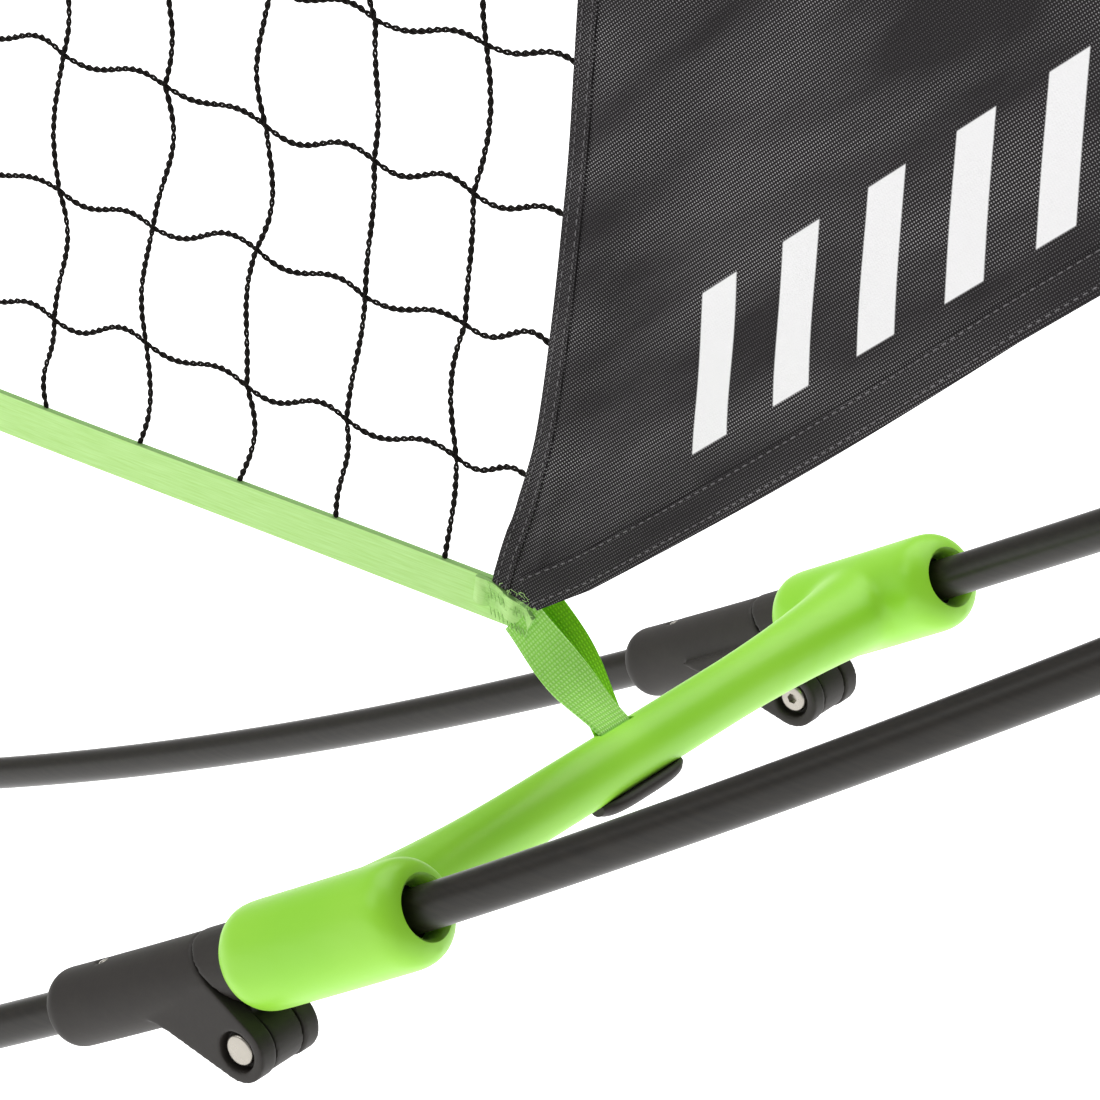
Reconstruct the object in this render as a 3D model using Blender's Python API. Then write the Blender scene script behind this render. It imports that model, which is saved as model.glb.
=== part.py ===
"""Low free-standing net on a double bow frame.

Two elastic rods run side by side, rise towards both ends and meet at the tips.
The top band of the net is the bowstring. Each end of the frame is a wing that
folds under the middle on a pair of offset hinges. Metres, +Z up, +X along the
net, origin on the ground under the middle. "end" is +1 right or -1 left, and
"side" is +1 far (+Y) or -1 near (-Y). Every piece is drawn for the right end
and the far side, and mirrored to the others.
"""
import math

import bmesh
import bpy
from mathutils import Matrix, Vector

# Rods and the bow that they draw
ROD_RADIUS = 0.0050
ROD_AXIS_HEIGHT = 0.0200        # above the ground, at the middle
CORNER_S = 1.150                # arc length from the middle to the net's lower corner
CURVATURE_MIDDLE = 1 / 1.424
CURVATURE_CORNER = 1 / 3.089
CURVATURE_WING = 1 / 3.962
HALF_GAP_CORNER = 0.1009        # net plane to a rod, at the corner
TOE_IN_WING = 0.124             # metres inwards for each metre of rod
TOE_IN_BASE = 0.074
ROD_MIDDLE_GAP = 0.0005         # from the middle to a base rod's end
ROD_SIDES = 12
ROD_STEP = 0.070                # longest straight facet along a rod
CLEARANCE = 0.0003
CUT_PAST = 0.0200               # a cutter runs this far past the body that it opens

# Hinges, along the rod from the pin (u) and square to it (w)
PIN_S = CORNER_S - 0.0737
PIN_DROP = 0.0168               # pin axis below the rod axis
EAR_RADIUS = 0.0076
HINGE_HALF_WIDTH = 0.0097
TONGUE_HALF_WIDTH = 0.0044
SLOT_HALF_WIDTH = 0.0048
SLOT_RADIUS = 0.0104
SPLIT_ANGLE = math.radians(29.0)
SPLIT_DISTANCE = 0.0080         # pin axis to the face where the two halves meet
LANE_REACH = 0.030              # length of the slot that the lug swings through
SLEEVE_RADIUS = 0.00925
FORK_LENGTH = 0.0547            # pin to the fork's free end
FORK_BORE_END = 0.0120          # pin to the end of the rod's bore in the fork
TONGUE_BORE_START = 0.0085      # and to its start in the tongue
SLEEVE_FILLET = 0.0045
TONGUE_LENGTH = 0.0520
PIN_RADIUS = 0.0025
PIN_HEAD_RADIUS = 0.0038
PIN_HEAD_THICKNESS = 0.0019
RECESS_RADIUS = 0.0049
RECESS_DEPTH = 0.0030
SCREW_RADIUS = 0.0015
SCREW_END = 0.0030              # past the middle of the hinge, inside the nut
HEX_SOCKET_RADIUS = 0.00144     # corner radius of a 2.5 mm key
HEX_SOCKET_DEPTH = 0.0012
FOLD_SIDES = 24

# Cross bars
SOCKET_RADIUS = 0.0125
SOCKET_START = 0.0040           # from the pin
SOCKET_END = 0.0600
SOCKET_FILLET = 0.0060
SOCKET_BORE = 0.0098
SOCKET_MOUTH = 0.0065
BAR_U = 0.0317                  # pin to the middle of the bar
BAR_HALF_THICKNESS = 0.0060
BAR_HALF_HEIGHT = 0.0070
BAR_SWELL = (0.0100, 0.0035)    # added to the half section where the bar meets a socket
BAR_SWELL_FROM = 0.35           # share of the half length where the swelling starts
BAR_SWELL_POWER = 2.2
BAR_SHARES = (-1, -0.9, -0.78, -0.62, -0.35, 0, 0.35, 0.62, 0.78, 0.9, 1)
BAR_INSET = 0.0015              # end of the bar to the rod's axis
CENTRE_SOCKET_HALF = 0.0450
STRAP_SLOT = (0.0040, 0.0126)   # along the rod, along the bar

# Shoes
SHOE_LENGTH = 0.220
SHOE_WIDTH = 0.030
SHOE_HEIGHT = 0.0180
SHOE_CHAMFER = 0.0060
PASSAGE_HALF = 0.0240           # room for the bar where it leaves the shoe
PASSAGE_FLOOR = 0.0090

# Tip
TIP_SECTIONS = (                # arc length, half width, half height
    (1.880, 0.0186, 0.0082), (1.900, 0.0168, 0.0086), (1.925, 0.0132, 0.0086),
    (1.945, 0.0094, 0.0080), (1.952, 0.0076, 0.0068), (1.956, 0.0050, 0.0045))
ROD_END_S = 1.912
TIP_RIVET_S = 1.938
TIP_SLOT_WIDTH = 0.0030
RIVET_RADIUS = 0.0020
RIVET_HEAD_RADIUS = 0.0034
RIVET_SEAT = 0.0085             # net plane to the faces under the rivet's heads
RIVET_RIM = 0.0006              # thickness of a head at its edge
RIVET_CROWN = 0.0014            # and at its middle

# Net, bands and webbing
NET_THICKNESS = 0.0016
WEBBING = 0.0111
BOTTOM_BAND_CENTRE = 0.3935     # height
TOP_BAND = 0.025
TOP_BAND_THICKNESS = 0.0020
TIP_STRAP = 0.015
HEM_SLOPE = math.radians(41.1)
CORNER_GAP = 0.0025             # fabric of the wing to fabric of the middle
TOGGLE_HALF_LENGTH = 0.0155
TOGGLE_HALF_WIDTH = 0.0050
TOGGLE_HEIGHT = 0.0036
TOGGLE_SHARES = (-1, -0.9, -0.6, -0.3, 0, 0.3, 0.6, 0.9, 1)
TOGGLE_BLUNT = 0.12             # keeps the button's ends from running to a point
STRAP_HALF_THICKNESS = 0.0012
STRAP_SHARES = (0, 0.25, 0.5, 0.75, 1)

RIBBON = [(-1, -1), (1, -1), (1, 1), (-1, 1)]
ENDS = {1: "right", -1: "left"}
SIDES = {1: "far", -1: "near"}


def round_profile(sides):
    """Unit circle as a closed list of points."""
    return [(math.cos(math.tau * i / sides), math.sin(math.tau * i / sides)) for i in range(sides)]


# The bow ---------------------------------------------------------------------------------

def bow_angle(s):
    """Slope of the rods at arc length s from the middle."""
    inner = min(s, CORNER_S)
    bend = (CURVATURE_CORNER - CURVATURE_MIDDLE) * inner ** 2 / (2 * CORNER_S)
    return CURVATURE_MIDDLE * inner + bend + CURVATURE_WING * max(0.0, s - CORNER_S)


def bow_point(s, steps=160):
    """X and Z of the rods' axis at arc length s."""
    step = s / steps
    slopes = [bow_angle((i + 0.5) * step) for i in range(steps)]
    x = step * sum(math.cos(a) for a in slopes)
    z = step * sum(math.sin(a) for a in slopes)
    return x, ROD_AXIS_HEIGHT + z


def half_gap(s):
    """Distance from the net plane to a rod's axis."""
    inward = CORNER_S - s
    if inward < 0:
        return HALF_GAP_CORNER + TOE_IN_WING * inward
    return HALF_GAP_CORNER + TOE_IN_BASE * (inward - inward ** 3 / (3 * CORNER_S ** 2))


def rod_point(s):
    """A point on the far right rod's axis; a negative s is on the left."""
    x, z = bow_point(abs(s))
    return Vector((math.copysign(x, s), half_gap(abs(s)), z))


def rod_station(s, radius):
    """Frame on the rod at s, whose X and Y axes are the section's radii."""
    ahead = (rod_point(s + 0.001) - rod_point(s - 0.001)).normalized()
    across = ahead.cross(Vector((0, 0, 1))).normalized()
    up = across.cross(ahead)
    return station(rod_point(s), across * radius, up * radius)


def station(centre, across, up):
    """Matrix that places a unit profile at centre, its X along across and its Y along up."""
    matrix = Matrix.Identity(4)
    for column, vector in enumerate((across, up, across.cross(up).normalized(), centre)):
        for row in range(3):
            matrix[row][column] = vector[row]
    return matrix


# The fold's frame: origin on the pin's axis in the net plane, u along the rod, w square to it
PIN_FOOT = bow_point(PIN_S)
PIN_SLOPE = bow_angle(PIN_S)
PIN_Y = half_gap(PIN_S)


def fold_point(u, w, y=0.0):
    """World place of (u, w), measured from the right pin's axis."""
    drop = w - PIN_DROP
    x = PIN_FOOT[0] + u * math.cos(PIN_SLOPE) - drop * math.sin(PIN_SLOPE)
    z = PIN_FOOT[1] + u * math.sin(PIN_SLOPE) + drop * math.cos(PIN_SLOPE)
    return Vector((x, y, z))


PIVOT = fold_point(0.0, 0.0)


# Closed bodies -----------------------------------------------------------------------------

def sweep(profile, stations):
    """Body through a profile placed at each station, with flat ends."""
    bm = bmesh.new()
    rim = [bm.verts.new(stations[0] @ Vector((x, y, 0))) for x, y in profile]
    face = bm.faces.new(rim)
    inner = []
    for before, after in zip(stations, stations[1:]):
        grown = bmesh.ops.extrude_face_region(bm, geom=[face])["geom"]
        face = next(item for item in grown if isinstance(item, bmesh.types.BMFace))
        bmesh.ops.transform(bm, matrix=after @ before.inverted(), verts=face.verts)
        inner.append(face)
    bmesh.ops.delete(bm, geom=inner[:-1], context="FACES_ONLY")
    bmesh.ops.recalc_face_normals(bm, faces=bm.faces)
    return bm


def slab(outline, low, high):
    """Outline of (x, z) points given its thickness along Y."""
    ends = [station(Vector((0, y, 0)), Vector((1, 0, 0)), Vector((0, 0, 1))) for y in (low, high)]
    return sweep(outline, ends)


def cylinder(centre, radius, low, high, sides=FOLD_SIDES):
    """Round bar along Y, between low and high."""
    disc = [(centre.x + radius * x, centre.z + radius * z) for x, z in round_profile(sides)]
    return slab(disc, low, high)


def arc(centre, radius, start, stop, count):
    """Points (x, z) round a centre, from one angle to another."""
    angles = [start + (stop - start) * i / count for i in range(count + 1)]
    return [(centre[0] + radius * math.cos(a), centre[1] + radius * math.sin(a)) for a in angles]


def rod_sweep(start, stop, radius, sides=ROD_SIDES):
    """Round bar that follows a rod's axis."""
    count = max(1, math.ceil((stop - start) / ROD_STEP))
    places = [start + (stop - start) * i / count for i in range(count + 1)]
    return sweep(round_profile(sides), [rod_station(s, radius) for s in places])


def fillet_sweep(start, stop, radius, fillets, sides=FOLD_SIDES):
    """Round bar along a rod, whose two ends are rounded by the two fillets."""
    places = []
    for end, fillet in ((start, fillets[0]), (stop, -fillets[1])):
        for angle in (math.radians(a) for a in (8, 35, 62, 90)):
            if fillet == 0:
                places.append((end, radius))
                break
            inset = abs(fillet) * (1 - math.sin(angle))
            places.append((end + fillet * (1 - math.cos(angle)), radius - inset))
    places.sort(key=lambda place: place[0])
    return sweep(round_profile(sides), [rod_station(s, r) for s, r in places])


# Scene objects -----------------------------------------------------------------------------

def material(name, colour, roughness, metallic=0.0):
    """Principled material from an sRGB hex colour."""
    made = bpy.data.materials.new(name)
    made.use_nodes = True
    shader = made.node_tree.nodes["Principled BSDF"]
    channels = [int(colour[i:i + 2], 16) / 255 for i in (0, 2, 4)]
    linear = [c / 12.92 if c <= 0.04045 else ((c + 0.055) / 1.055) ** 2.4 for c in channels]
    shader.inputs["Base Color"].default_value = (*linear, 1.0)
    shader.inputs["Roughness"].default_value = roughness
    shader.inputs["Metallic"].default_value = metallic
    made.diffuse_color = (*linear, 1.0)
    return made


def place(bm, name, finish, pivot=None, end=1, side=1):
    """Object from a body drawn for the far right, mirrored to its own end and side."""
    bmesh.ops.transform(bm, matrix=Matrix.Diagonal((end, side, 1, 1)), verts=bm.verts)
    if end * side < 0:
        bmesh.ops.reverse_faces(bm, faces=bm.faces)
    if pivot:
        bmesh.ops.translate(bm, vec=-pivot.location, verts=bm.verts)
    mesh = bpy.data.meshes.new(name)
    bm.to_mesh(mesh)
    bm.free()
    mesh.shade_smooth()
    mesh.set_sharp_from_angle(angle=math.radians(35))
    if finish:
        mesh.materials.append(finish)
    piece = bpy.data.objects.new(name, mesh)
    bpy.context.scene.collection.objects.link(piece)
    piece.parent = pivot
    return piece


def shape(piece, operation, body, end=1, side=1):
    """Boolean modifier on a piece, whose other body is kept as a hidden guide."""
    name = f"guide_{len(piece.modifiers)}_{piece.name}"
    guide = place(body, name, None, piece.parent, end, side)
    guide.hide_render = True
    guide.display_type = "WIRE"
    step = piece.modifiers.new(f"{operation.lower()} {len(piece.modifiers)}", "BOOLEAN")
    step.operation = operation
    step.object = guide
    step.solver = "EXACT"


def pivot_empty(name, end):
    """Empty on a wing's pin line, which carries all of the wing."""
    empty = bpy.data.objects.new(name, None)
    empty.empty_display_size = 0.05
    empty.location = (end * PIVOT.x, 0, PIVOT.z)
    bpy.context.scene.collection.objects.link(empty)
    return empty


# Hinges ------------------------------------------------------------------------------------

def split_box(keep_from):
    """Block on the fork's side (-1) or the tongue's side (1) of the slanted split."""
    near = SPLIT_DISTANCE + keep_from * CLEARANCE
    normal = (math.cos(SPLIT_ANGLE), math.sin(SPLIT_ANGLE))
    run = (-normal[1], normal[0])
    depth = 0.150
    corners = [(near, -depth), (near, depth), (near - keep_from * depth, depth),
               (near - keep_from * depth, -depth)]
    outline = []
    for n, t in corners:
        point = fold_point(n * normal[0] + t * run[0], n * normal[1] + t * run[1])
        outline.append((point.x, point.z))
    half_width = HINGE_HALF_WIDTH + CUT_PAST
    return slab(outline, PIN_Y - half_width, PIN_Y + half_width)


def fold_outline(points):
    """(x, z) of a list of (u, w)."""
    return [(fold_point(u, w).x, fold_point(u, w).z) for u, w in points]


def pin_arc(radius, start, stop, count):
    """(u, w) points round the pin, angles in degrees from the rod's direction."""
    return arc((0, 0), radius, math.radians(start), math.radians(stop), count)


def fork(end, side, finish):
    """Outer half of a hinge: sleeve on the middle rod, and two ears with a slot between."""
    s_free = PIN_S - FORK_LENGTH
    body = fillet_sweep(s_free, PIN_S + 0.010, SLEEVE_RADIUS, (SLEEVE_FILLET, 0))
    piece = place(body, f"{ENDS[end]}_{SIDES[side]}_fork", finish, None, end, side)
    cheek = [(-0.0190, PIN_DROP - 0.0085)] + pin_arc(EAR_RADIUS, 218, 389, 12)
    cheek += [(-0.0004, PIN_DROP), (-0.0300, PIN_DROP)]
    ears = slab(fold_outline(cheek), PIN_Y - HINGE_HALF_WIDTH, PIN_Y + HINGE_HALF_WIDTH)
    shape(piece, "UNION", ears, end, side)
    lane = pin_arc(SLOT_RADIUS, 119, 299, 14)
    for sign in (1, -1):
        lane.append((LANE_REACH * math.cos(SPLIT_ANGLE) + sign * SLOT_RADIUS * math.sin(SPLIT_ANGLE),
                     LANE_REACH * math.sin(SPLIT_ANGLE) - sign * SLOT_RADIUS * math.cos(SPLIT_ANGLE)))
    floor = HINGE_HALF_WIDTH - RECESS_DEPTH
    cuts = [split_box(-1),
            slab(fold_outline(lane), PIN_Y - SLOT_HALF_WIDTH, PIN_Y + SLOT_HALF_WIDTH),
            rod_sweep(s_free - CUT_PAST, PIN_S - FORK_BORE_END, ROD_RADIUS + CLEARANCE),
            cylinder(PIVOT, PIN_RADIUS + CLEARANCE, PIN_Y - CUT_PAST, PIN_Y + CUT_PAST, 16),
            cylinder(PIVOT, RECESS_RADIUS, PIN_Y + floor, PIN_Y + CUT_PAST, 20),
            cylinder(PIVOT, RECESS_RADIUS, PIN_Y - CUT_PAST, PIN_Y - floor, 20)]
    for cut in cuts:
        shape(piece, "DIFFERENCE", cut, end, side)


def tongue(end, side, finish, pivot):
    """Inner half of a hinge: sleeve on the wing's rod, and a lug between the fork's ears."""
    body = rod_sweep(PIN_S - 0.012, PIN_S + TONGUE_LENGTH, SOCKET_BORE - CLEARANCE, FOLD_SIDES)
    piece = place(body, f"{ENDS[end]}_{SIDES[side]}_tongue", finish, pivot, end, side)
    shape(piece, "DIFFERENCE", split_box(1), end, side)
    web = pin_arc(EAR_RADIUS - CLEARANCE, 119, 420, 18)
    web += [(0.0044, 0.0075), (0.0046, 0.0130), (0.0035, 0.0135)]
    lug = slab(fold_outline(web), PIN_Y - TONGUE_HALF_WIDTH, PIN_Y + TONGUE_HALF_WIDTH)
    shape(piece, "UNION", lug, end, side)
    bore = rod_sweep(PIN_S + TONGUE_BORE_START, PIN_S + TONGUE_LENGTH + CUT_PAST, ROD_RADIUS + CLEARANCE)
    shape(piece, "DIFFERENCE", bore, end, side)
    hole = cylinder(PIVOT, PIN_RADIUS + CLEARANCE, PIN_Y - CUT_PAST, PIN_Y + CUT_PAST, 16)
    shape(piece, "DIFFERENCE", hole, end, side)


def turned(steps, sides=20):
    """Turned body along Y at the far right hinge, from (offset from its middle, radius) steps."""
    places = [station(Vector((PIVOT.x, PIN_Y + y, PIVOT.z)), Vector((-r, 0, 0)), Vector((0, 0, r)))
              for y, r in steps]
    return sweep(round_profile(sides), places)


def hinge_pin(end, side, finish):
    """Smooth-headed sleeve nut from outside, and the socket screw that closes it from inside."""
    floor = HINGE_HALF_WIDTH - RECESS_DEPTH
    head = floor + CLEARANCE
    rim = head + PIN_HEAD_THICKNESS * 0.7
    crown = head + PIN_HEAD_THICKNESS
    name = f"{ENDS[end]}_{SIDES[side]}_hinge"
    nut = place(turned([(-floor + CLEARANCE, PIN_RADIUS), (head, PIN_RADIUS), (head, PIN_HEAD_RADIUS),
                        (rim, PIN_HEAD_RADIUS), (crown, PIN_HEAD_RADIUS * 0.72)]),
                f"{name}_nut", finish, None, end, side)
    thread = cylinder(PIVOT, SCREW_RADIUS + CLEARANCE, PIN_Y - CUT_PAST, PIN_Y + SCREW_END + 0.0005, 16)
    shape(nut, "DIFFERENCE", thread, end, side)
    screw = place(turned([(-crown, PIN_HEAD_RADIUS * 0.8), (-rim, PIN_HEAD_RADIUS),
                          (-head, PIN_HEAD_RADIUS), (-head, SCREW_RADIUS), (SCREW_END, SCREW_RADIUS)]),
                  f"{name}_screw", finish, None, end, side)
    key = cylinder(PIVOT, HEX_SOCKET_RADIUS, PIN_Y - CUT_PAST, PIN_Y - crown + HEX_SOCKET_DEPTH, 6)
    shape(screw, "DIFFERENCE", key, end, side)


# Cross bars --------------------------------------------------------------------------------

def bar_body(centre, slope, reach):
    """Oval bar along Y that swells towards its two sockets."""
    along = Vector((math.cos(slope), 0, math.sin(slope)))
    square = Vector((-math.sin(slope), 0, math.cos(slope)))
    places = []
    for share in BAR_SHARES:
        swell = max(0.0, (abs(share) - BAR_SWELL_FROM) / (1 - BAR_SWELL_FROM)) ** BAR_SWELL_POWER
        half_thickness = BAR_HALF_THICKNESS + BAR_SWELL[0] * swell
        half_height = BAR_HALF_HEIGHT + BAR_SWELL[1] * swell
        middle = Vector((centre[0], share * reach, centre[1]))
        places.append(station(middle, along * half_thickness, square * half_height))
    return sweep(round_profile(16), places)


def wing_bar(end, finish, pivot):
    """Cross bar of a wing, with a socket on each tongue and a slot for the strap."""
    s_bar = PIN_S + BAR_U
    slope = bow_angle(s_bar)
    body = bar_body(bow_point(s_bar), slope, half_gap(s_bar) - BAR_INSET)
    piece = place(body, f"{ENDS[end]}_cross_bar", finish, pivot, end)
    start, stop = PIN_S + SOCKET_START, PIN_S + SOCKET_END
    for side in (1, -1):
        socket = fillet_sweep(start, stop, SOCKET_RADIUS, (SOCKET_FILLET, SOCKET_FILLET))
        shape(piece, "UNION", socket, end, side)
    for side in (1, -1):
        bore = rod_sweep(start - 0.005, PIN_S + TONGUE_LENGTH + 0.001, SOCKET_BORE, FOLD_SIDES)
        shape(piece, "DIFFERENCE", bore, end, side)
        mouth = rod_sweep(start + 0.010, stop + 0.010, SOCKET_MOUTH, 16)
        shape(piece, "DIFFERENCE", mouth, end, side)
    x, z = bow_point(s_bar)
    along = Vector((math.cos(slope), 0, math.sin(slope))) * STRAP_SLOT[0] / 2
    across = Vector((0, STRAP_SLOT[1] / 2, 0))
    square = Vector((-math.sin(slope), 0, math.cos(slope)))
    ends = [station(Vector((x, 0, z)) + square * rise, along, across) for rise in (-0.012, 0.012)]
    shape(piece, "DIFFERENCE", sweep(RIBBON, ends), end)


def centre_bar(finish):
    """Cross bar at the middle, whose sockets take the ends of all four middle rods."""
    piece = place(bar_body((0, ROD_AXIS_HEIGHT), 0.0, half_gap(0) - BAR_INSET), "centre_bar", finish)
    for side in (1, -1):
        socket = fillet_sweep(-CENTRE_SOCKET_HALF, CENTRE_SOCKET_HALF, SOCKET_RADIUS,
                              (SOCKET_FILLET, SOCKET_FILLET))
        shape(piece, "UNION", socket, 1, side)
    for side in (1, -1):
        reach = CENTRE_SOCKET_HALF + CUT_PAST
        bore = rod_sweep(-reach, reach, ROD_RADIUS + CLEARANCE)
        shape(piece, "DIFFERENCE", bore, 1, side)


def ground_shoe(side, finish):
    """Flat-bottomed shoe that cradles the middle socket and the rods beside it."""
    half, chamfer = SHOE_LENGTH / 2, SHOE_CHAMFER
    outline = [(-half, 0), (half, 0), (half, SHOE_HEIGHT - chamfer), (half - chamfer, SHOE_HEIGHT),
               (chamfer - half, SHOE_HEIGHT), (-half, SHOE_HEIGHT - chamfer)]
    y = half_gap(0)
    piece = place(slab(outline, y - SHOE_WIDTH / 2, y + SHOE_WIDTH / 2), f"{SIDES[side]}_shoe", finish,
                  None, 1, side)
    cradle = rod_sweep(-half - CUT_PAST, half + CUT_PAST, ROD_RADIUS + CLEARANCE)
    shape(piece, "DIFFERENCE", cradle, 1, side)
    seat = CENTRE_SOCKET_HALF + CLEARANCE
    shape(piece, "DIFFERENCE", rod_sweep(-seat, seat, SOCKET_RADIUS + CLEARANCE, FOLD_SIDES), 1, side)
    ceiling = SHOE_HEIGHT + CUT_PAST
    passage = [(-PASSAGE_HALF, PASSAGE_FLOOR), (PASSAGE_HALF, PASSAGE_FLOOR), (PASSAGE_HALF, ceiling),
               (-PASSAGE_HALF, ceiling)]
    shape(piece, "DIFFERENCE", slab(passage, y - SHOE_WIDTH, y), 1, side)


# Tips ---------------------------------------------------------------------------------------

def tip_cap(end, finish, pivot):
    """Moulded nose that holds both rods of a wing, slotted for the strap."""
    places = []
    for s, half_width, half_height in TIP_SECTIONS:
        x, z = bow_point(s)
        slope = bow_angle(s)
        up = Vector((-math.sin(slope), 0, math.cos(slope)))
        places.append(station(Vector((x, 0, z)), Vector((0, -half_width, 0)), up * half_height))
    piece = place(sweep(round_profile(20), places), f"{ENDS[end]}_tip", finish, pivot, end)
    for side in (1, -1):
        bore = rod_sweep(TIP_SECTIONS[0][0] - CUT_PAST, ROD_END_S + 0.0015, ROD_RADIUS + CLEARANCE)
        shape(piece, "DIFFERENCE", bore, end, side)
    x, z = tip_anchor()
    left, right, low, high = x - 0.050, x + 0.006, z - 0.012, z + 0.030
    slot = slab([(left, low), (right, low), (right, high), (left, high)],
                -TIP_SLOT_WIDTH / 2, TIP_SLOT_WIDTH / 2)
    shape(piece, "DIFFERENCE", slot, end)
    hole = cylinder(Vector((x, 0, z)), RIVET_RADIUS + CLEARANCE, -CUT_PAST, CUT_PAST, 16)
    shape(piece, "DIFFERENCE", hole, end)
    for side in (1, -1):
        seat = cylinder(Vector((x, 0, z)), RIVET_HEAD_RADIUS + CLEARANCE, RIVET_SEAT, CUT_PAST, 16)
        shape(piece, "DIFFERENCE", seat, end, side)


def tip_anchor():
    """(x, z) of the rivet that holds the top band's strap in the tip."""
    return bow_point(TIP_RIVET_S)


def tip_rivet(end, finish, pivot):
    """Tubular rivet through the tip and the strap."""
    x, z = tip_anchor()
    half = RIVET_SEAT + CLEARANCE
    head = [(half, RIVET_RADIUS), (half, RIVET_HEAD_RADIUS), (half + RIVET_RIM, RIVET_HEAD_RADIUS),
            (half + RIVET_CROWN, RIVET_HEAD_RADIUS * 0.75)]
    steps = [(-y, r) for y, r in reversed(head)] + head
    places = [station(Vector((x, y, z)), Vector((-r, 0, 0)), Vector((0, 0, r))) for y, r in steps]
    place(sweep(round_profile(16), places), f"{ENDS[end]}_tip_rivet", finish, pivot, end)


# Fabric --------------------------------------------------------------------------------------

def top_edge():
    """Lower edge of the top band: it runs level through the two tips' rivets."""
    return tip_anchor()[1] - TOP_BAND / 2


def corner(dx, dz):
    """(x, z) measured from the rods' axis at the corner of the net."""
    x, z = bow_point(CORNER_S)
    return x + dx, z + dz


def seam():
    """The panel's edge against the netting, from the lower corner up: it curves, then runs upright."""
    points = [corner(-0.0719, 0.0169), corner(-0.0656, 0.0380), corner(-0.0619, 0.0580),
              corner(-0.0575, 0.1000), corner(-0.0550, 0.1556)]
    return points + [(points[-1][0], top_edge() - CLEARANCE)]


def netting(finish):
    """The knotless netting of the middle, as one thin sheet."""
    lower = BOTTOM_BAND_CENTRE + WEBBING / 2 + CLEARANCE
    right = [(x - CORNER_GAP, max(z, lower)) for x, z in seam()]
    outline = [(right[0][0] - 0.004, lower)] + right
    outline += [(-x, z) for x, z in reversed(outline)]
    place(slab(outline, -NET_THICKNESS / 2, NET_THICKNESS / 2), "netting", finish)


def band(name, low, high, height, section, finish, pivot=None, end=1):
    """Straight webbing from x = low to high, centred on a height; its section is (height, thickness)."""
    half, thickness = section[0] / 2, section[1]
    outline = [(low, height - half), (high, height - half), (high, height + half), (low, height + half)]
    return place(slab(outline, -thickness / 2, thickness / 2), name, finish, pivot, end)


def end_panel(end, finish, pivot):
    """Woven panel between the netting, the top band and the slanted hem; returns where the hem ends."""
    start = corner(-0.0469, 0.0175)
    top = top_edge() - CLEARANCE
    hem_top = (start[0] + (top - start[1]) / math.tan(HEM_SLOPE), top)
    outline = [corner(-0.0600, 0.0118), start, hem_top] + list(reversed(seam()))
    place(slab(outline, -NET_THICKNESS / 2, NET_THICKNESS / 2), f"{ENDS[end]}_end_panel", finish, pivot, end)
    return hem_top[0]


def corner_strap(end, finish, pivot):
    """Webbing from the net's corner, turned a quarter on its way into the bar's slot."""
    s_bar = PIN_S + BAR_U
    slope = bow_angle(s_bar)
    x, z = bow_point(s_bar)
    bar = Vector((x, 0, z))
    square = Vector((-math.sin(slope), 0, math.cos(slope)))
    first = Vector((corner(-0.0630, 0)[0], 0, corner(0, 0.0048)[1]))
    last = bar - square * (BAR_HALF_HEIGHT + 0.0002)
    entry = bar + square * (BAR_HALF_HEIGHT + 0.003)
    half_width, half_thickness = WEBBING / 2, STRAP_HALF_THICKNESS
    near = Vector((0, -1, 0))
    places = []
    run = (entry - first).normalized()
    for share in STRAP_SHARES:
        turn = share * math.pi / 2
        width = run.cross(near) * math.cos(turn) + near * math.sin(turn)
        point = first.lerp(entry, share)
        places.append(station(point, width * half_width, run.cross(width) * half_thickness))
    for point in (bar + square * (BAR_HALF_HEIGHT - 0.001), last):
        places.append(station(point, near * half_width, square.cross(near) * -half_thickness))
    place(sweep(RIBBON, places), f"{ENDS[end]}_corner_strap", finish, pivot, end)


def toggle(end, finish, pivot):
    """Lens-shaped button under the bar that keeps the strap in its slot."""
    s_bar = PIN_S + BAR_U
    slope = bow_angle(s_bar)
    x, z = bow_point(s_bar)
    along = Vector((math.cos(slope), 0, math.sin(slope)))
    square = Vector((-math.sin(slope), 0, math.cos(slope)))
    places = []
    for share in TOGGLE_SHARES:
        bulge = max(TOGGLE_BLUNT, 1 - share * share) ** 0.5
        half_height = TOGGLE_HEIGHT / 2 * bulge
        middle = Vector((x, share * TOGGLE_HALF_LENGTH, z))
        middle -= square * (BAR_HALF_HEIGHT + 2 * CLEARANCE + half_height)
        places.append(station(middle, along * TOGGLE_HALF_WIDTH * bulge, square * half_height))
    place(sweep(round_profile(12), places), f"{ENDS[end]}_toggle", finish, pivot, end)


def tip_strap(end, start_x, finish, pivot):
    """Narrow end of the top band, from the panel's corner to the rivet in the tip."""
    x, z = tip_anchor()
    half, stop = TIP_STRAP / 2, x + 0.0045
    outline = [(start_x + CLEARANCE, z - half), (stop, z - half), (stop, z + half),
               (start_x + CLEARANCE, z + half)]
    strap = slab(outline, -TOP_BAND_THICKNESS / 2, TOP_BAND_THICKNESS / 2)
    piece = place(strap, f"{ENDS[end]}_tip_strap", finish, pivot, end)
    hole = cylinder(Vector((x, 0, z)), RIVET_RADIUS + CLEARANCE, -CUT_PAST, CUT_PAST, 16)
    shape(piece, "DIFFERENCE", hole, end)


def rod(name, start, stop, end, side, finish, pivot=None):
    """Elastic rod between two arc lengths."""
    place(rod_sweep(start, stop, ROD_RADIUS), name, finish, pivot, end, side)


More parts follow.
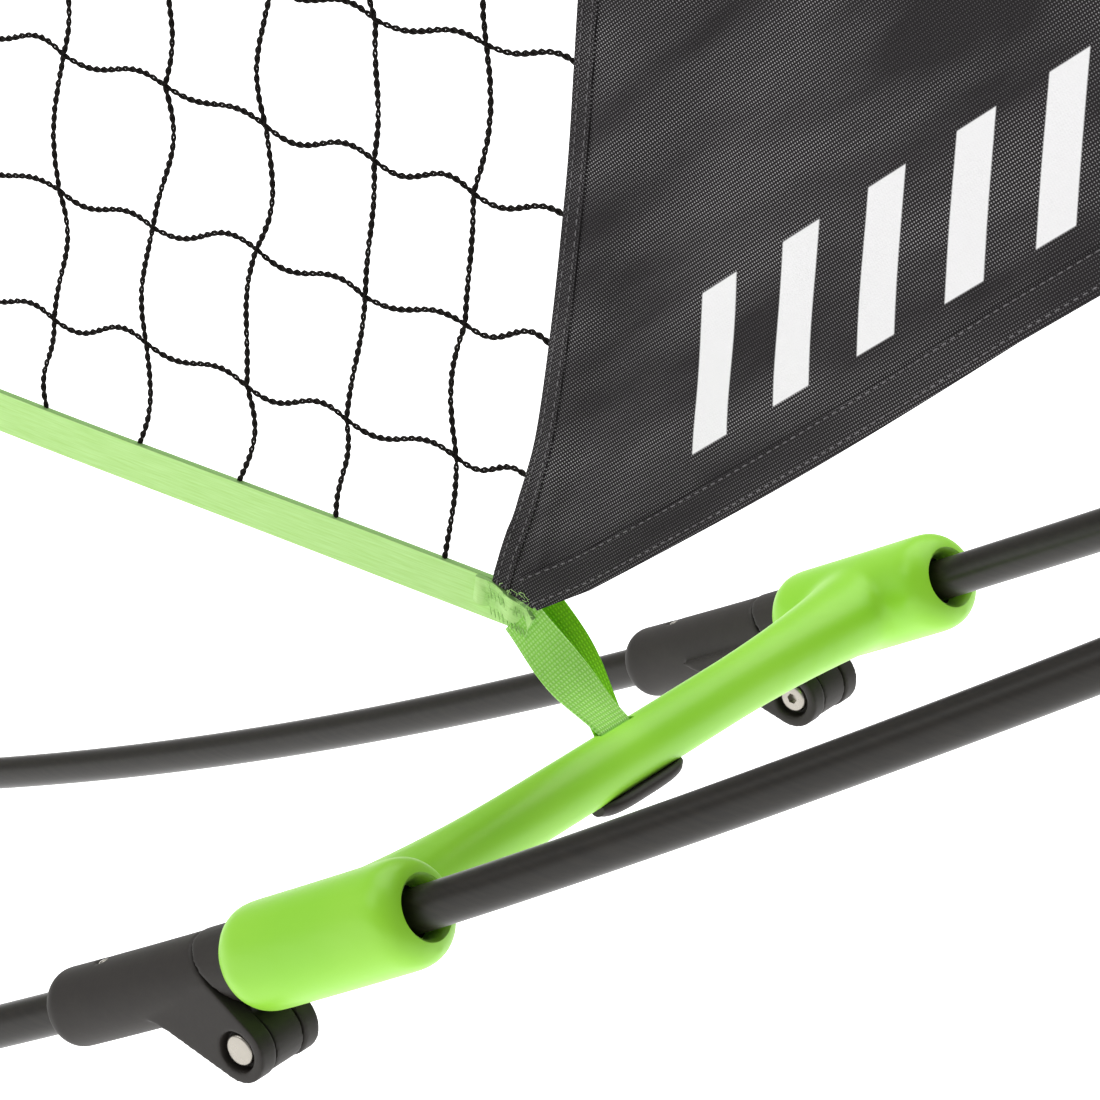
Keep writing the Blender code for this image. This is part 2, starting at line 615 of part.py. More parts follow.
def build():
    """The whole object, from an empty scene."""
    for old in list(bpy.data.objects):
        bpy.data.objects.remove(old, do_unlink=True)
    fibreglass = material("rod_fibreglass", "35322f", 0.38)
    black_nylon = material("hinge_nylon", "3b3835", 0.62)
    green_nylon = material("bar_nylon", "8fd92e", 0.48)
    rubber = material("shoe_rubber", "2b2a29", 0.85)
    steel = material("bright_steel", "c9c6c0", 0.25, 1.0)
    cord = material("net_cord", "1e1a17", 0.9)
    webbing = material("green_webbing", "a6e66a", 0.85)
    cloth = material("black_polyester", "3a3739", 0.85)

    centre_bar(green_nylon)
    netting(cord)
    corner_x = corner(-0.0685, 0)[0]
    band("bottom_band", -corner_x, corner_x, BOTTOM_BAND_CENTRE, (WEBBING, NET_THICKNESS), webbing)
    seam_x = seam()[-1][0]
    band_height = tip_anchor()[1]
    middle_end = seam_x - CORNER_GAP
    top_section = (TOP_BAND, TOP_BAND_THICKNESS)
    band("top_band", -middle_end, middle_end, band_height, top_section, webbing)
    for side in (-1, 1):
        ground_shoe(side, rubber)
    for end in (-1, 1):
        pivot = pivot_empty(f"{ENDS[end]}_wing_pivot", end)
        wing_bar(end, green_nylon, pivot)
        hem_x = end_panel(end, cloth, pivot)
        corner_strap(end, webbing, pivot)
        toggle(end, black_nylon, pivot)
        band(f"{ENDS[end]}_top_band", seam_x, hem_x, band_height, top_section, webbing, pivot, end)
        tip_strap(end, hem_x, webbing, pivot)
        tip_cap(end, black_nylon, pivot)
        tip_rivet(end, steel, pivot)
        for side in (-1, 1):
            name = f"{ENDS[end]}_{SIDES[side]}"
            rod(f"{name}_base_rod", ROD_MIDDLE_GAP, PIN_S - FORK_BORE_END - 0.0005, end, side, fibreglass)
            start = PIN_S + TONGUE_BORE_START + 0.0005
            rod(f"{name}_wing_rod", start, ROD_END_S, end, side, fibreglass, pivot)
            fork(end, side, black_nylon)
            tongue(end, side, black_nylon, pivot)
            hinge_pin(end, side, steel)


build()
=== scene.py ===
"""Looks of a low free-standing net on a double bow frame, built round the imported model."""
import math
import random

import bmesh
import bpy
from mathutils import Matrix, Vector, noise


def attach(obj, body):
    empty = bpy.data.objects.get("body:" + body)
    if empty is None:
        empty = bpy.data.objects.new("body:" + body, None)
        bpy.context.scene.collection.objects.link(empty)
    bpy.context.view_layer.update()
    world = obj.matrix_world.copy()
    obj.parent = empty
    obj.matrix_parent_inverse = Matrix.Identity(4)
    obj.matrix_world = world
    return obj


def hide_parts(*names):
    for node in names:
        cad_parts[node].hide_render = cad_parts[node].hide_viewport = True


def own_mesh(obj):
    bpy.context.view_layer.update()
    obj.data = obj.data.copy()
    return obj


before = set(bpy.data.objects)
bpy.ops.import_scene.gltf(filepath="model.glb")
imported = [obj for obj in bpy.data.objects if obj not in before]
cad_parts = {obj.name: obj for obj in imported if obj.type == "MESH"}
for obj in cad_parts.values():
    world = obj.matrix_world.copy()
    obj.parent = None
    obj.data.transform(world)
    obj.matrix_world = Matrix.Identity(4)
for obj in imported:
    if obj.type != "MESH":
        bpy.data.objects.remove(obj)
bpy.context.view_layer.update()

MM = 0.001
ENDS = {1: "right", -1: "left"}
SIDES = {1: "far", -1: "near"}

# The bow that the rods draw: arc length s runs from the middle to a tip
ROD_RADIUS = 5.0 * MM
ROD_AXIS_HEIGHT = 20.0 * MM
CORNER_S = 1.150
CURVATURE_MIDDLE = 1 / 1.424
CURVATURE_CORNER = 1 / 3.089
CURVATURE_WING = 1 / 3.962
HALF_GAP_CORNER = 0.1009
TOE_IN_WING = 0.124
TOE_IN_BASE = 0.074

# Hinges and cross bars, measured along a rod from the pin (u) and square to it (w)
PIN_S = CORNER_S - 73.7 * MM
PIN_DROP = 16.8 * MM
EAR_RADIUS = 7.6 * MM
HINGE_HALF_WIDTH = 9.7 * MM
TONGUE_HALF_WIDTH = 4.4 * MM
SLOT_HALF_WIDTH = 4.8 * MM
SPLIT_ANGLE = math.radians(29.0)
SPLIT_DISTANCE = 8.0 * MM
SLEEVE_RADIUS = 9.25 * MM
FORK_LENGTH = 54.7 * MM
TONGUE_LENGTH = 52.0 * MM
SOCKET_RADIUS = 12.5 * MM
SOCKET_START = 4.0 * MM
SOCKET_END = 60.0 * MM
SOCKET_BORE = 9.8 * MM
SOCKET_MOUTH = 6.5 * MM
BAR_U = 31.7 * MM
BAR_HALF_THICKNESS = 6.0 * MM
BAR_HALF_HEIGHT = 7.0 * MM
BAR_SWELL = (10 * MM, 3.5 * MM)
BAR_SWELL_FROM = 0.35
BAR_SWELL_POWER = 2.2
ROUNDING_LOSS = 0.7 * MM
GAP = 0.3 * MM

SLOT_RADIUS = 10.4 * MM
LANE_REACH = 30.0 * MM
PIN_RADIUS = 2.5 * MM
RECESS_RADIUS = 4.9 * MM
RECESS_DEPTH = 3.0 * MM
NOTCH_FROM_END = 17.0 * MM
CENTRE_SOCKET_HALF = 45.0 * MM
TOGGLE_HALF_LENGTH = 15.5 * MM
TOGGLE_HALF_WIDTH = 5.0 * MM
SHOE_LENGTH = 220.0 * MM
SHOE_WIDTH = 30.0 * MM
SHOE_HEIGHT = 18.0 * MM
ROD_END_S = 1.912
TIP_RIVET_S = 1.938
# Each section's arc length, then its half width and half height in millimetres
TIP_SECTIONS = ((1.880, 18.6, 8.2), (1.900, 16.8, 8.6), (1.925, 13.2, 8.6), (1.945, 9.4, 8.0),
                (1.952, 7.6, 6.8), (1.956, 5.0, 4.5))

# Net, bands and cloth
WEBBING = 11.1 * MM
BOTTOM_BAND_CENTRE = 0.3935
BAND_TOP = BOTTOM_BAND_CENTRE + WEBBING / 2
TOP_BAND = 25.0 * MM
TIP_STRAP = 15.0 * MM
HEM_SLOPE = math.radians(41.1)
NET_PITCH_X = 31.8 * MM
NET_PITCH_Z = 34.4 * MM
NET_COLUMNS = 62
NET_ROWS = 13
STITCH = 2.4 * MM
BAR_ROW_START = 26.0 * MM
BAR_PITCH = 20.5 * MM
BAR_WIDTH = 9.8 * MM
BAR_RISE = (13.5 * MM, 42.5 * MM)
BAR_COUNT = 7

# Light
FLOOR_GLOW = 0.80
SKY_STRENGTH = 0.32

# Camera: a long lens that looks down on the net's lower right corner
CAMERA_FROM_CORNER = Vector((0.4619, -0.7006, 0.4563))
CAMERA_YAW = math.radians(-36.61)
CAMERA_PITCH = math.radians(-26.43)
CAMERA_ROLL = math.radians(2.01)
CAMERA_LENS = 138.5


# The bow ---------------------------------------------------------------------------------

def bow_angle(s):
    """Slope of the rods at arc length s from the middle."""
    inner = min(s, CORNER_S)
    bend = (CURVATURE_CORNER - CURVATURE_MIDDLE) * inner ** 2 / (2 * CORNER_S)
    return CURVATURE_MIDDLE * inner + bend + CURVATURE_WING * max(0.0, s - CORNER_S)


def bow_point(s, steps=160):
    """X and Z of the rods' axis at arc length s."""
    step = s / steps
    slopes = [bow_angle((i + 0.5) * step) for i in range(steps)]
    x = step * sum(math.cos(a) for a in slopes)
    z = step * sum(math.sin(a) for a in slopes)
    return x, ROD_AXIS_HEIGHT + z


def half_gap(s):
    """Distance from the net plane to a rod's axis."""
    inward = CORNER_S - s
    if inward < 0:
        return HALF_GAP_CORNER + TOE_IN_WING * inward
    return HALF_GAP_CORNER + TOE_IN_BASE * (inward - inward ** 3 / (3 * CORNER_S ** 2))


def rod_point(s):
    """A point on the far right rod's axis; a negative s is on the left."""
    x, z = bow_point(abs(s))
    return Vector((math.copysign(x, s), half_gap(abs(s)), z))


def bow_frame(s):
    """Point midway between the rods at arc length s, their direction there, and the one square to it."""
    x, z = bow_point(s)
    slope = bow_angle(s)
    return (Vector((x, 0, z)), Vector((math.cos(slope), 0, math.sin(slope))),
            Vector((-math.sin(slope), 0, math.cos(slope))))


def station(centre, across, up):
    """Matrix that places a unit profile at centre, its X along across and its Y along up."""
    matrix = Matrix.Identity(4)
    for column, vector in enumerate((across, up, across.cross(up).normalized(), centre)):
        for row in range(3):
            matrix[row][column] = vector[row]
    return matrix


def rod_station(s, radius):
    """Round station on the far right rod."""
    ahead = (rod_point(s + 0.001) - rod_point(s - 0.001)).normalized()
    across = ahead.cross(Vector((0, 0, 1))).normalized()
    return station(rod_point(s), across * radius, across.cross(ahead) * radius)


PIN_FOOT = bow_point(PIN_S)
PIN_SLOPE = bow_angle(PIN_S)
PIN_Y = half_gap(PIN_S)
CORNER = Vector((bow_point(CORNER_S)[0], 0, bow_point(CORNER_S)[1]))


def fold_point(u, w, y=0.0):
    """World place of (u, w), measured from the right pin's axis."""
    drop = w - PIN_DROP
    x = PIN_FOOT[0] + u * math.cos(PIN_SLOPE) - drop * math.sin(PIN_SLOPE)
    z = PIN_FOOT[1] + u * math.sin(PIN_SLOPE) + drop * math.cos(PIN_SLOPE)
    return Vector((x, y, z))


PIVOT = fold_point(0.0, 0.0)
PIN = fold_point(0.0, 0.0, PIN_Y)


# Bodies made by sweeping, fusing and cutting ---------------------------------------------------

def round_profile(sides):
    return [(math.cos(math.tau * i / sides), math.sin(math.tau * i / sides)) for i in range(sides)]


def sweep(profile, stations):
    """Closed body through a profile placed at each station."""
    bm = bmesh.new()
    rim = [bm.verts.new(stations[0] @ Vector((x, y, 0))) for x, y in profile]
    face = bm.faces.new(rim)
    inner = []
    for before, after in zip(stations, stations[1:]):
        grown = bmesh.ops.extrude_face_region(bm, geom=[face])["geom"]
        face = next(item for item in grown if isinstance(item, bmesh.types.BMFace))
        bmesh.ops.transform(bm, matrix=after @ before.inverted(), verts=face.verts)
        inner.append(face)
    bmesh.ops.delete(bm, geom=inner[:-1], context="FACES_ONLY")
    bmesh.ops.recalc_face_normals(bm, faces=bm.faces)
    return bm


def slab(outline, low, high):
    """Outline of (x, z) points given its thickness along Y."""
    ends = [station(Vector((0, y, 0)), Vector((1, 0, 0)), Vector((0, 0, 1))) for y in (low, high)]
    return sweep(outline, ends)


def cylinder(centre, radius, low, high, sides=48):
    disc = [(centre.x + radius * x, centre.z + radius * z) for x, z in round_profile(sides)]
    return slab(disc, low, high)


def rod_sweep(start, stop, radius, step=10 * MM, sides=32):
    """Round bar that follows a rod's axis."""
    count = max(1, math.ceil((stop - start) / step))
    places = [start + (stop - start) * i / count for i in range(count + 1)]
    return sweep(round_profile(sides), [rod_station(s, radius) for s in places])


def turned_rod(rims, sides=48):
    """Round body along a rod from (arc length, radius) pairs."""
    return sweep(round_profile(sides), [rod_station(s, r) for s, r in rims])


def rounded(start, stop, radius, fillet, steps=7):
    """(arc length, radius) pairs of a bar whose two ends are rounded."""
    rims = []
    for i in range(steps + 1):
        angle = math.radians(6 + 84 * i / steps)
        rims.append((fillet * (1 - math.cos(angle)), radius - fillet * (1 - math.sin(angle))))
    middle = [(start + (stop - start) * i / 6, radius) for i in range(1, 6)]
    return ([(start + run, r) for run, r in rims] + middle
            + [(stop - run, r) for run, r in reversed(rims)])


def joined(bodies):
    """One bmesh that holds all of the bodies."""
    whole = bmesh.new()
    for body in bodies:
        mesh = bpy.data.meshes.new("part")
        body.to_mesh(mesh)
        body.free()
        whole.from_mesh(mesh)
        bpy.data.meshes.remove(mesh)
    return whole


def worked(bm, add_modifiers):
    """The body after modifiers, applied."""
    mesh = bpy.data.meshes.new("blank")
    bm.to_mesh(mesh)
    bm.free()
    blank = bpy.data.objects.new("blank", mesh)
    bpy.context.scene.collection.objects.link(blank)
    add_modifiers(blank)
    seen = blank.evaluated_get(bpy.context.evaluated_depsgraph_get())
    result = bmesh.new()
    result.from_mesh(seen.to_mesh())
    bpy.data.objects.remove(blank)
    bpy.data.meshes.remove(mesh)
    return result


def moulded(bodies, voxel, rounds):
    """Bodies that overlap, fused into one skin whose corners are rounded off."""
    def fuse(blank):
        step = blank.modifiers.new("fuse", "REMESH")
        step.mode = "VOXEL"
        step.voxel_size = voxel
    bm = worked(joined(bodies), fuse)
    for _ in range(rounds):
        bmesh.ops.smooth_vert(bm, verts=bm.verts, factor=0.5, use_axis_x=True, use_axis_y=True,
                              use_axis_z=True)
    return bm


def carved(bm, cutters, operation="DIFFERENCE"):
    """The body with the cutters taken away, or added."""
    mesh = bpy.data.meshes.new("cutter")
    whole = joined(cutters)
    whole.to_mesh(mesh)
    whole.free()
    cutter = bpy.data.objects.new("cutter", mesh)
    bpy.context.scene.collection.objects.link(cutter)

    def cut(blank):
        step = blank.modifiers.new("cut", "BOOLEAN")
        step.operation = operation
        step.solver = "EXACT"
        step.use_self = len(cutters) > 1
        step.object = cutter
    result = worked(bm, cut)
    bpy.data.objects.remove(cutter)
    bpy.data.meshes.remove(mesh)
    return result


def piece(bm, name, look, body, *nodes, end=1, side=1, sharp=35):
    """Finished object from a body drawn for the far right, mirrored to its own end and side."""
    own = bm.copy()
    bmesh.ops.transform(own, matrix=Matrix.Diagonal((end, side, 1, 1)), verts=own.verts)
    if end * side < 0:
        bmesh.ops.reverse_faces(own, faces=own.faces)
    mesh = bpy.data.meshes.new(name)
    own.to_mesh(mesh)
    own.free()
    mesh.shade_smooth()
    mesh.set_sharp_from_angle(angle=math.radians(sharp))
    mesh.materials.append(look)
    made = bpy.data.objects.new(name, mesh)
    bpy.context.scene.collection.objects.link(made)
    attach(made, body)
    if nodes:
        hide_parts(*nodes)
    return made


# Finishes ---------------------------------------------------------------------------------------


def linear(code):
    """sRGB hex colour as linear RGBA."""
    channels = [int(code[i:i + 2], 16) / 255 for i in (0, 2, 4)]
    return (*[c / 12.92 if c <= 0.04045 else ((c + 0.055) / 1.055) ** 2.4 for c in channels], 1.0)


def plug(tree, target, inputs):
    """Fills a node's inputs, each with a value, a socket, or a node's first output."""
    for name, value in inputs.items():
        if isinstance(value, bpy.types.Node):
            value = value.outputs[0]
        if isinstance(value, bpy.types.NodeSocket):
            tree.links.new(value, target.inputs[name])
        else:
            target.inputs[name].default_value = value


def node(tree, kind, inputs=None, stops=(), **settings):
    """One shader node with its settings and inputs; stops are a ramp's positions and hex colours."""
    made = tree.nodes.new(f"ShaderNode{kind}")
    for name, value in settings.items():
        setattr(made, name, value)
    plug(tree, made, inputs or {})
    for index, (position, code) in enumerate(stops):
        elements = made.color_ramp.elements
        element = elements[index] if index < 2 else elements.new(position)
        element.position = position
        element.color = linear(code)
    return made


def finish(name, inputs):
    """Principled material with its constant inputs, its tree and its shader."""
    made = bpy.data.materials.new(name)
    made.use_nodes = True
    shader = made.node_tree.nodes["Principled BSDF"]
    plug(made.node_tree, shader, inputs)
    return made, made.node_tree, shader


def wave_scale(pitch):
    """Wave Texture scale that repeats once in each pitch, in metres."""
    return math.tau / 20 / pitch


def fibreglass():
    """Pultruded glass-fibre rod, pigmented black: satin, with faint streaks along its length."""
    made, tree, shader = finish("pultruded_fibreglass",
                                {"Roughness": 0.36, "Specular IOR Level": 0.35})
    place = node(tree, "TexCoord").outputs["Object"]
    stretched = node(tree, "Mapping", {"Vector": place, "Scale": (25, 900, 900)})
    streaks = node(tree, "TexNoise", {"Vector": stretched, "Scale": 1.0, "Detail": 3.0})
    plug(tree, shader, {
        "Base Color": node(tree, "ValToRGB", {"Fac": streaks}, [(0.3, "181510"), (0.7, "221e18")]),
        "Normal": node(tree, "Bump", {"Height": streaks, "Strength": 0.08, "Distance": 0.1 * MM})})
    return made


def glass_filled_nylon():
    """Moulded glass-filled nylon: a dull dark skin with a fine grain and a few pale scuffs."""
    made, tree, shader = finish("glass_filled_nylon",
                                {"Roughness": 0.58, "Specular IOR Level": 0.35})
    place = node(tree, "TexCoord").outputs["Object"]
    grain = node(tree, "TexNoise", {"Vector": place, "Scale": 1 / (0.9 * MM), "Detail": 4.0})
    scuffs = node(tree, "TexNoise", {"Vector": place, "Scale": 1 / (9 * MM), "Detail": 8.0,
                                     "Roughness": 0.75})
    stops = [(0.35, "25211e"), (0.66, "2b2723"), (0.76, "45403b")]
    plug(tree, shader, {
        "Base Color": node(tree, "ValToRGB", {"Fac": scuffs}, stops),
        "Normal": node(tree, "Bump", {"Height": grain, "Strength": 0.18, "Distance": 0.12 * MM})})
    return made


def green_nylon():
    """Moulded nylon in bright green: satin, slightly soft in its reflections, with a shallow eroded grain."""
    made, tree, shader = finish("green_nylon", {
        "Roughness": 0.40, "Sheen Weight": 0.12, "Sheen Roughness": 0.6, "Sheen Tint": linear("e8ffc8")})
    place = node(tree, "TexCoord").outputs["Object"]
    grain = node(tree, "TexNoise", {"Vector": place, "Scale": 1 / (1.2 * MM), "Detail": 3.0})
    flow = node(tree, "TexNoise", {"Vector": place, "Scale": 1 / (30 * MM), "Detail": 2.0})
    plug(tree, shader, {
        "Base Color": node(tree, "ValToRGB", {"Fac": flow}, [(0.3, "8ed722"), (0.7, "96db2e")]),
        "Normal": node(tree, "Bump", {"Height": grain, "Strength": 0.06, "Distance": 0.1 * MM})})
    return made


def rubber():
    """Moulded rubber: matt, near black, dusty where it is raised."""
    made, tree, shader = finish("black_rubber", {"Roughness": 0.85})
    place = node(tree, "TexCoord").outputs["Object"]
    dust = node(tree, "TexNoise", {"Vector": place, "Scale": 1 / (6 * MM), "Detail": 6.0})
    plug(tree, shader, {
        "Base Color": node(tree, "ValToRGB", {"Fac": dust}, [(0.4, "232221"), (0.75, "33312f")]),
        "Normal": node(tree, "Bump", {"Height": dust, "Strength": 0.2, "Distance": 0.2 * MM})})
    return made


def turned_steel():
    """Zinc-plated steel, turned and tumbled: a warm grey shine with faint handling marks."""
    made, tree, shader = finish("plated_steel",
                                {"Metallic": 1.0, "Base Color": linear("a8a39a")})
    place = node(tree, "TexCoord").outputs["Object"]
    marks = node(tree, "TexNoise", {"Vector": place, "Scale": 1 / (1.5 * MM), "Detail": 5.0})
    worn = node(tree, "MapRange", {"Value": marks, "To Min": 0.20, "To Max": 0.38})
    plug(tree, shader, {"Roughness": worn})
    return made


def knitted_cord():
    """Knitted polyester cord: dull brown-black filaments, a little lighter where they stand out."""
    made, tree, shader = finish("knitted_polyester",
                                {"Roughness": 0.8, "Specular IOR Level": 0.15})
    place = node(tree, "TexCoord").outputs["Object"]
    fibres = node(tree, "TexNoise", {"Vector": place, "Scale": 1 / (0.5 * MM), "Detail": 2.0})
    colour = node(tree, "ValToRGB", {"Fac": fibres}, [(0.35, "0e0b09"), (0.7, "1c1612")])
    plug(tree, shader, {"Base Color": colour})
    return made


def ribbed_webbing(name, base, rib):
    """Woven polyester webbing: pale green ribs 1.05 mm apart across it, crossed by the warp's fine lines."""
    made, tree, shader = finish(name, {"Roughness": 0.75, "Specular IOR Level": 0.3})
    flat = node(tree, "UVMap", uv_map="cloth")
    ribs = node(tree, "TexWave", {"Vector": flat, "Scale": wave_scale(1.05 * MM), "Distortion": 0.4,
                                  "Detail Scale": 2.0}, bands_direction="Y")
    warp = node(tree, "TexWave", {"Vector": flat, "Scale": wave_scale(0.75 * MM), "Distortion": 0.6,
                                  "Detail Scale": 2.0}, bands_direction="X")
    both = node(tree, "Math", {0: ribs.outputs["Fac"], 1: warp.outputs["Fac"]}, operation="MULTIPLY")
    plug(tree, shader, {
        "Base Color": node(tree, "ValToRGB", {"Fac": both}, [(0.0, rib), (0.6, base)]),
        "Normal": node(tree, "Bump", {"Height": both, "Strength": 0.6, "Distance": 0.25 * MM})})
    return made


def soft_webbing():
    """Brushed polyester webbing, pale green with fine fibres; a darker thread runs along its upper edge."""
    made, tree, shader = finish("brushed_webbing", {
        "Roughness": 0.8, "Specular IOR Level": 0.25, "Sheen Weight": 0.15, "Sheen Roughness": 0.5})
    flat = node(tree, "UVMap", uv_map="cloth")
    drawn = node(tree, "Mapping", {"Vector": flat, "Scale": (2200, 90, 1)})
    fibres = node(tree, "TexNoise", {"Vector": drawn, "Scale": 1.0, "Detail": 4.0})
    colour = node(tree, "ValToRGB", {"Fac": fibres}, [(0.3, "b3e284"), (0.7, "c3ee9a")])
    edge = node(tree, "MapRange", {
        "Value": node(tree, "SeparateXYZ", {"Vector": flat}), "From Min": WEBBING / 2 - 0.42 * MM,
        "From Max": WEBBING / 2 - 0.25 * MM, "To Max": 0.75})
    sewn = node(tree, "Mix", {0: edge, 6: colour, 7: linear("5f8a48")}, data_type="RGBA")
    plug(tree, shader, {
        "Base Color": sewn.outputs[2],
        "Normal": node(tree, "Bump", {"Height": fibres, "Strength": 0.35, "Distance": 0.15 * MM})})
    return made


def plain_weave(name, dots, marks=False):
    """Open plain-woven polyester: charcoal threads, with light through the gaps between them."""
    made, tree, shader = finish(name, {"Roughness": 0.7, "Specular IOR Level": 0.15})
    flat = node(tree, "UVMap", uv_map="cloth")
    # The real threads lie about 0.6 mm apart; 0.72 mm keeps the rows of gaps visible
    rows = [node(tree, "TexWave", {"Vector": flat, "Scale": wave_scale(0.72 * MM), "Distortion": 0.25,
                                   "Detail Scale": 1.0}, bands_direction=way).outputs["Fac"] for way in "XY"]
    gaps = node(tree, "Math", {0: rows[0], 1: rows[1]}, operation="MULTIPLY")
    drawn = node(tree, "Mapping", {"Vector": flat, "Scale": (14, 55, 1)})
    slack = node(tree, "TexNoise", {"Vector": drawn, "Scale": 1.0, "Detail": 3.0, "Roughness": 0.45})
    seen = node(tree, "MapRange", {"Value": slack, "From Min": 0.36, "From Max": 0.62, "To Min": 0.10,
                                   "To Max": dots})
    sharp = node(tree, "MapRange", {"Value": gaps, "From Min": 0.40, "From Max": 0.85})
    light = node(tree, "Math", {0: sharp, 1: seen}, operation="MULTIPLY")
    cloth = node(tree, "Mix", {0: light, 6: linear("211e20"), 7: linear("d6d4d6")}, data_type="RGBA")
    colour = cloth.outputs[2]
    if marks:
        colour = printed_bars(tree, flat, colour)
    plug(tree, shader, {
        "Base Color": colour,
        "Normal": node(tree, "Bump", {"Height": gaps, "Strength": 0.25, "Distance": 0.15 * MM})})
    return made


def printed_bars(tree, flat, cloth_colour):
    """Upright white bars in a row along the hem, screen-printed on the cloth."""
    split = node(tree, "SeparateXYZ", {"Vector": flat})
    above = split.outputs["Y"]
    level = node(tree, "Math", {0: split.outputs["X"], 1: math.cos(HEM_SLOPE)}, operation="MULTIPLY")
    lean = node(tree, "Math", {0: above, 1: -math.sin(HEM_SLOPE)}, operation="MULTIPLY")
    place = node(tree, "Math", {0: level, 1: lean}, operation="ADD")
    from_first = node(tree, "Math", {0: place, 1: -BAR_ROW_START}, operation="ADD")
    phase = node(tree, "Math", {0: from_first, 1: BAR_PITCH}, operation="MODULO")
    edge = 0.15 * MM
    mask = 1.0
    for value, low, high in ((phase, 1 * MM, BAR_WIDTH), (above, *BAR_RISE),
                             (from_first, 0, BAR_COUNT * BAR_PITCH)):
        for outside, inside in ((low - edge, low + edge), (high + edge, high - edge)):
            bound = node(tree, "MapRange", {"Value": value, "From Min": outside, "From Max": inside})
            mask = node(tree, "Math", {0: bound, 1: mask}, operation="MULTIPLY")
    return node(tree, "Mix", {0: mask, 6: cloth_colour, 7: linear("f4f3f4")}, data_type="RGBA").outputs[2]


def sewing_thread():
    """Spun polyester thread: grey and dull."""
    made, tree, shader = finish("sewing_thread",
                                {"Roughness": 0.8, "Specular IOR Level": 0.2})
    place = node(tree, "TexCoord").outputs["Object"]
    twist = node(tree, "TexNoise", {"Vector": place, "Scale": 1 / (0.4 * MM)})
    colour = node(tree, "ValToRGB", {"Fac": twist}, [(0.3, "5c595b"), (0.7, "817e81")])
    plug(tree, shader, {"Base Color": colour})
    return made


# Rods and hinges --------------------------------------------------------------------------------

def split_box(keep_from):
    """Block on the fork's side (-1) or the tongue's side (1) of the slanted split."""
    near = SPLIT_DISTANCE + keep_from * GAP
    normal = (math.cos(SPLIT_ANGLE), math.sin(SPLIT_ANGLE))
    run = (-normal[1], normal[0])
    depth = 150 * MM
    outline = []
    for n, t in ((near, -depth), (near, depth), (near - keep_from * depth, depth),
                 (near - keep_from * depth, -depth)):
        point = fold_point(n * normal[0] + t * run[0], n * normal[1] + t * run[1])
        outline.append((point.x, point.z))
    return slab(outline, PIN_Y - 50 * MM, PIN_Y + 50 * MM)


def fold_outline(points):
    """(x, z) of a list of (u, w)."""
    return [(fold_point(u, w).x, fold_point(u, w).z) for u, w in points]


def pin_arc(radius, start, stop, count=24):
    """(u, w) points round the pin, angles in degrees from the rod's direction."""
    angles = [math.radians(start + (stop - start) * i / count) for i in range(count + 1)]
    return [(radius * math.cos(a), radius * math.sin(a)) for a in angles]


def fork_body():
    """Outer half of a hinge: sleeve, two ears with a lane between, and sunk seats for the pin's heads."""
    s_free = PIN_S - FORK_LENGTH
    sleeve = turned_rod(rounded(s_free, PIN_S + 10 * MM, SLEEVE_RADIUS, 4.5 * MM)[:-7])
    cheek = [(-19.0 * MM, PIN_DROP - 8.5 * MM)] + pin_arc(EAR_RADIUS, 218, 389)
    cheek += [(-0.4 * MM, PIN_DROP), (-30.0 * MM, PIN_DROP)]
    ears = slab(fold_outline(cheek), PIN_Y - HINGE_HALF_WIDTH, PIN_Y + HINGE_HALF_WIDTH)
    body = carved(sleeve, [ears], "UNION")
    lane = pin_arc(SLOT_RADIUS, 119, 299)
    for sign in (1, -1):
        lane.append((LANE_REACH * math.cos(SPLIT_ANGLE) + sign * SLOT_RADIUS * math.sin(SPLIT_ANGLE),
                     LANE_REACH * math.sin(SPLIT_ANGLE) - sign * SLOT_RADIUS * math.cos(SPLIT_ANGLE)))
    floor = HINGE_HALF_WIDTH - RECESS_DEPTH
    notch = PIN_S - FORK_LENGTH + NOTCH_FROM_END
    for cut in (split_box(-1),
                slab(fold_outline(lane), PIN_Y - SLOT_HALF_WIDTH, PIN_Y + SLOT_HALF_WIDTH),
                rod_sweep(s_free - 10 * MM, PIN_S - 12 * MM, ROD_RADIUS + GAP),
                cylinder(PIVOT, PIN_RADIUS + GAP, PIN_Y - 20 * MM, PIN_Y + 20 * MM),
                cylinder(PIVOT, RECESS_RADIUS, PIN_Y + floor, PIN_Y + 20 * MM),
                cylinder(PIVOT, RECESS_RADIUS, PIN_Y - 20 * MM, PIN_Y - floor),
                notch_cutter(notch)):
        body = carved(body, [cut])
    return moulded([body], 0.42 * MM, 4)


def rivet_station(s, radius, rise):
    """Round station square to the rod, at a height above its axis."""
    _, along, square = bow_frame(s)
    return station(rod_point(s) + square * rise, along * radius, Vector((0, radius, 0)))


def notch_cutter(s):
    """Sunk round seat on top of the sleeve."""
    return sweep(round_profile(24), [rivet_station(s, 1.9 * MM, SLEEVE_RADIUS + rise * MM)
                                     for rise in (4.0, -0.9)])


def rod_rivet_body():
    """Small domed rivet through the sleeve into the rod."""
    s = PIN_S - FORK_LENGTH + NOTCH_FROM_END
    rims = [(1.3, -1.2), (1.3, -0.6), (1.1, -0.35), (0.7, -0.2), (0.3, -0.15)]
    return sweep(round_profile(24), [rivet_station(s, r * MM, SLEEVE_RADIUS + rise * MM) for r, rise in rims])


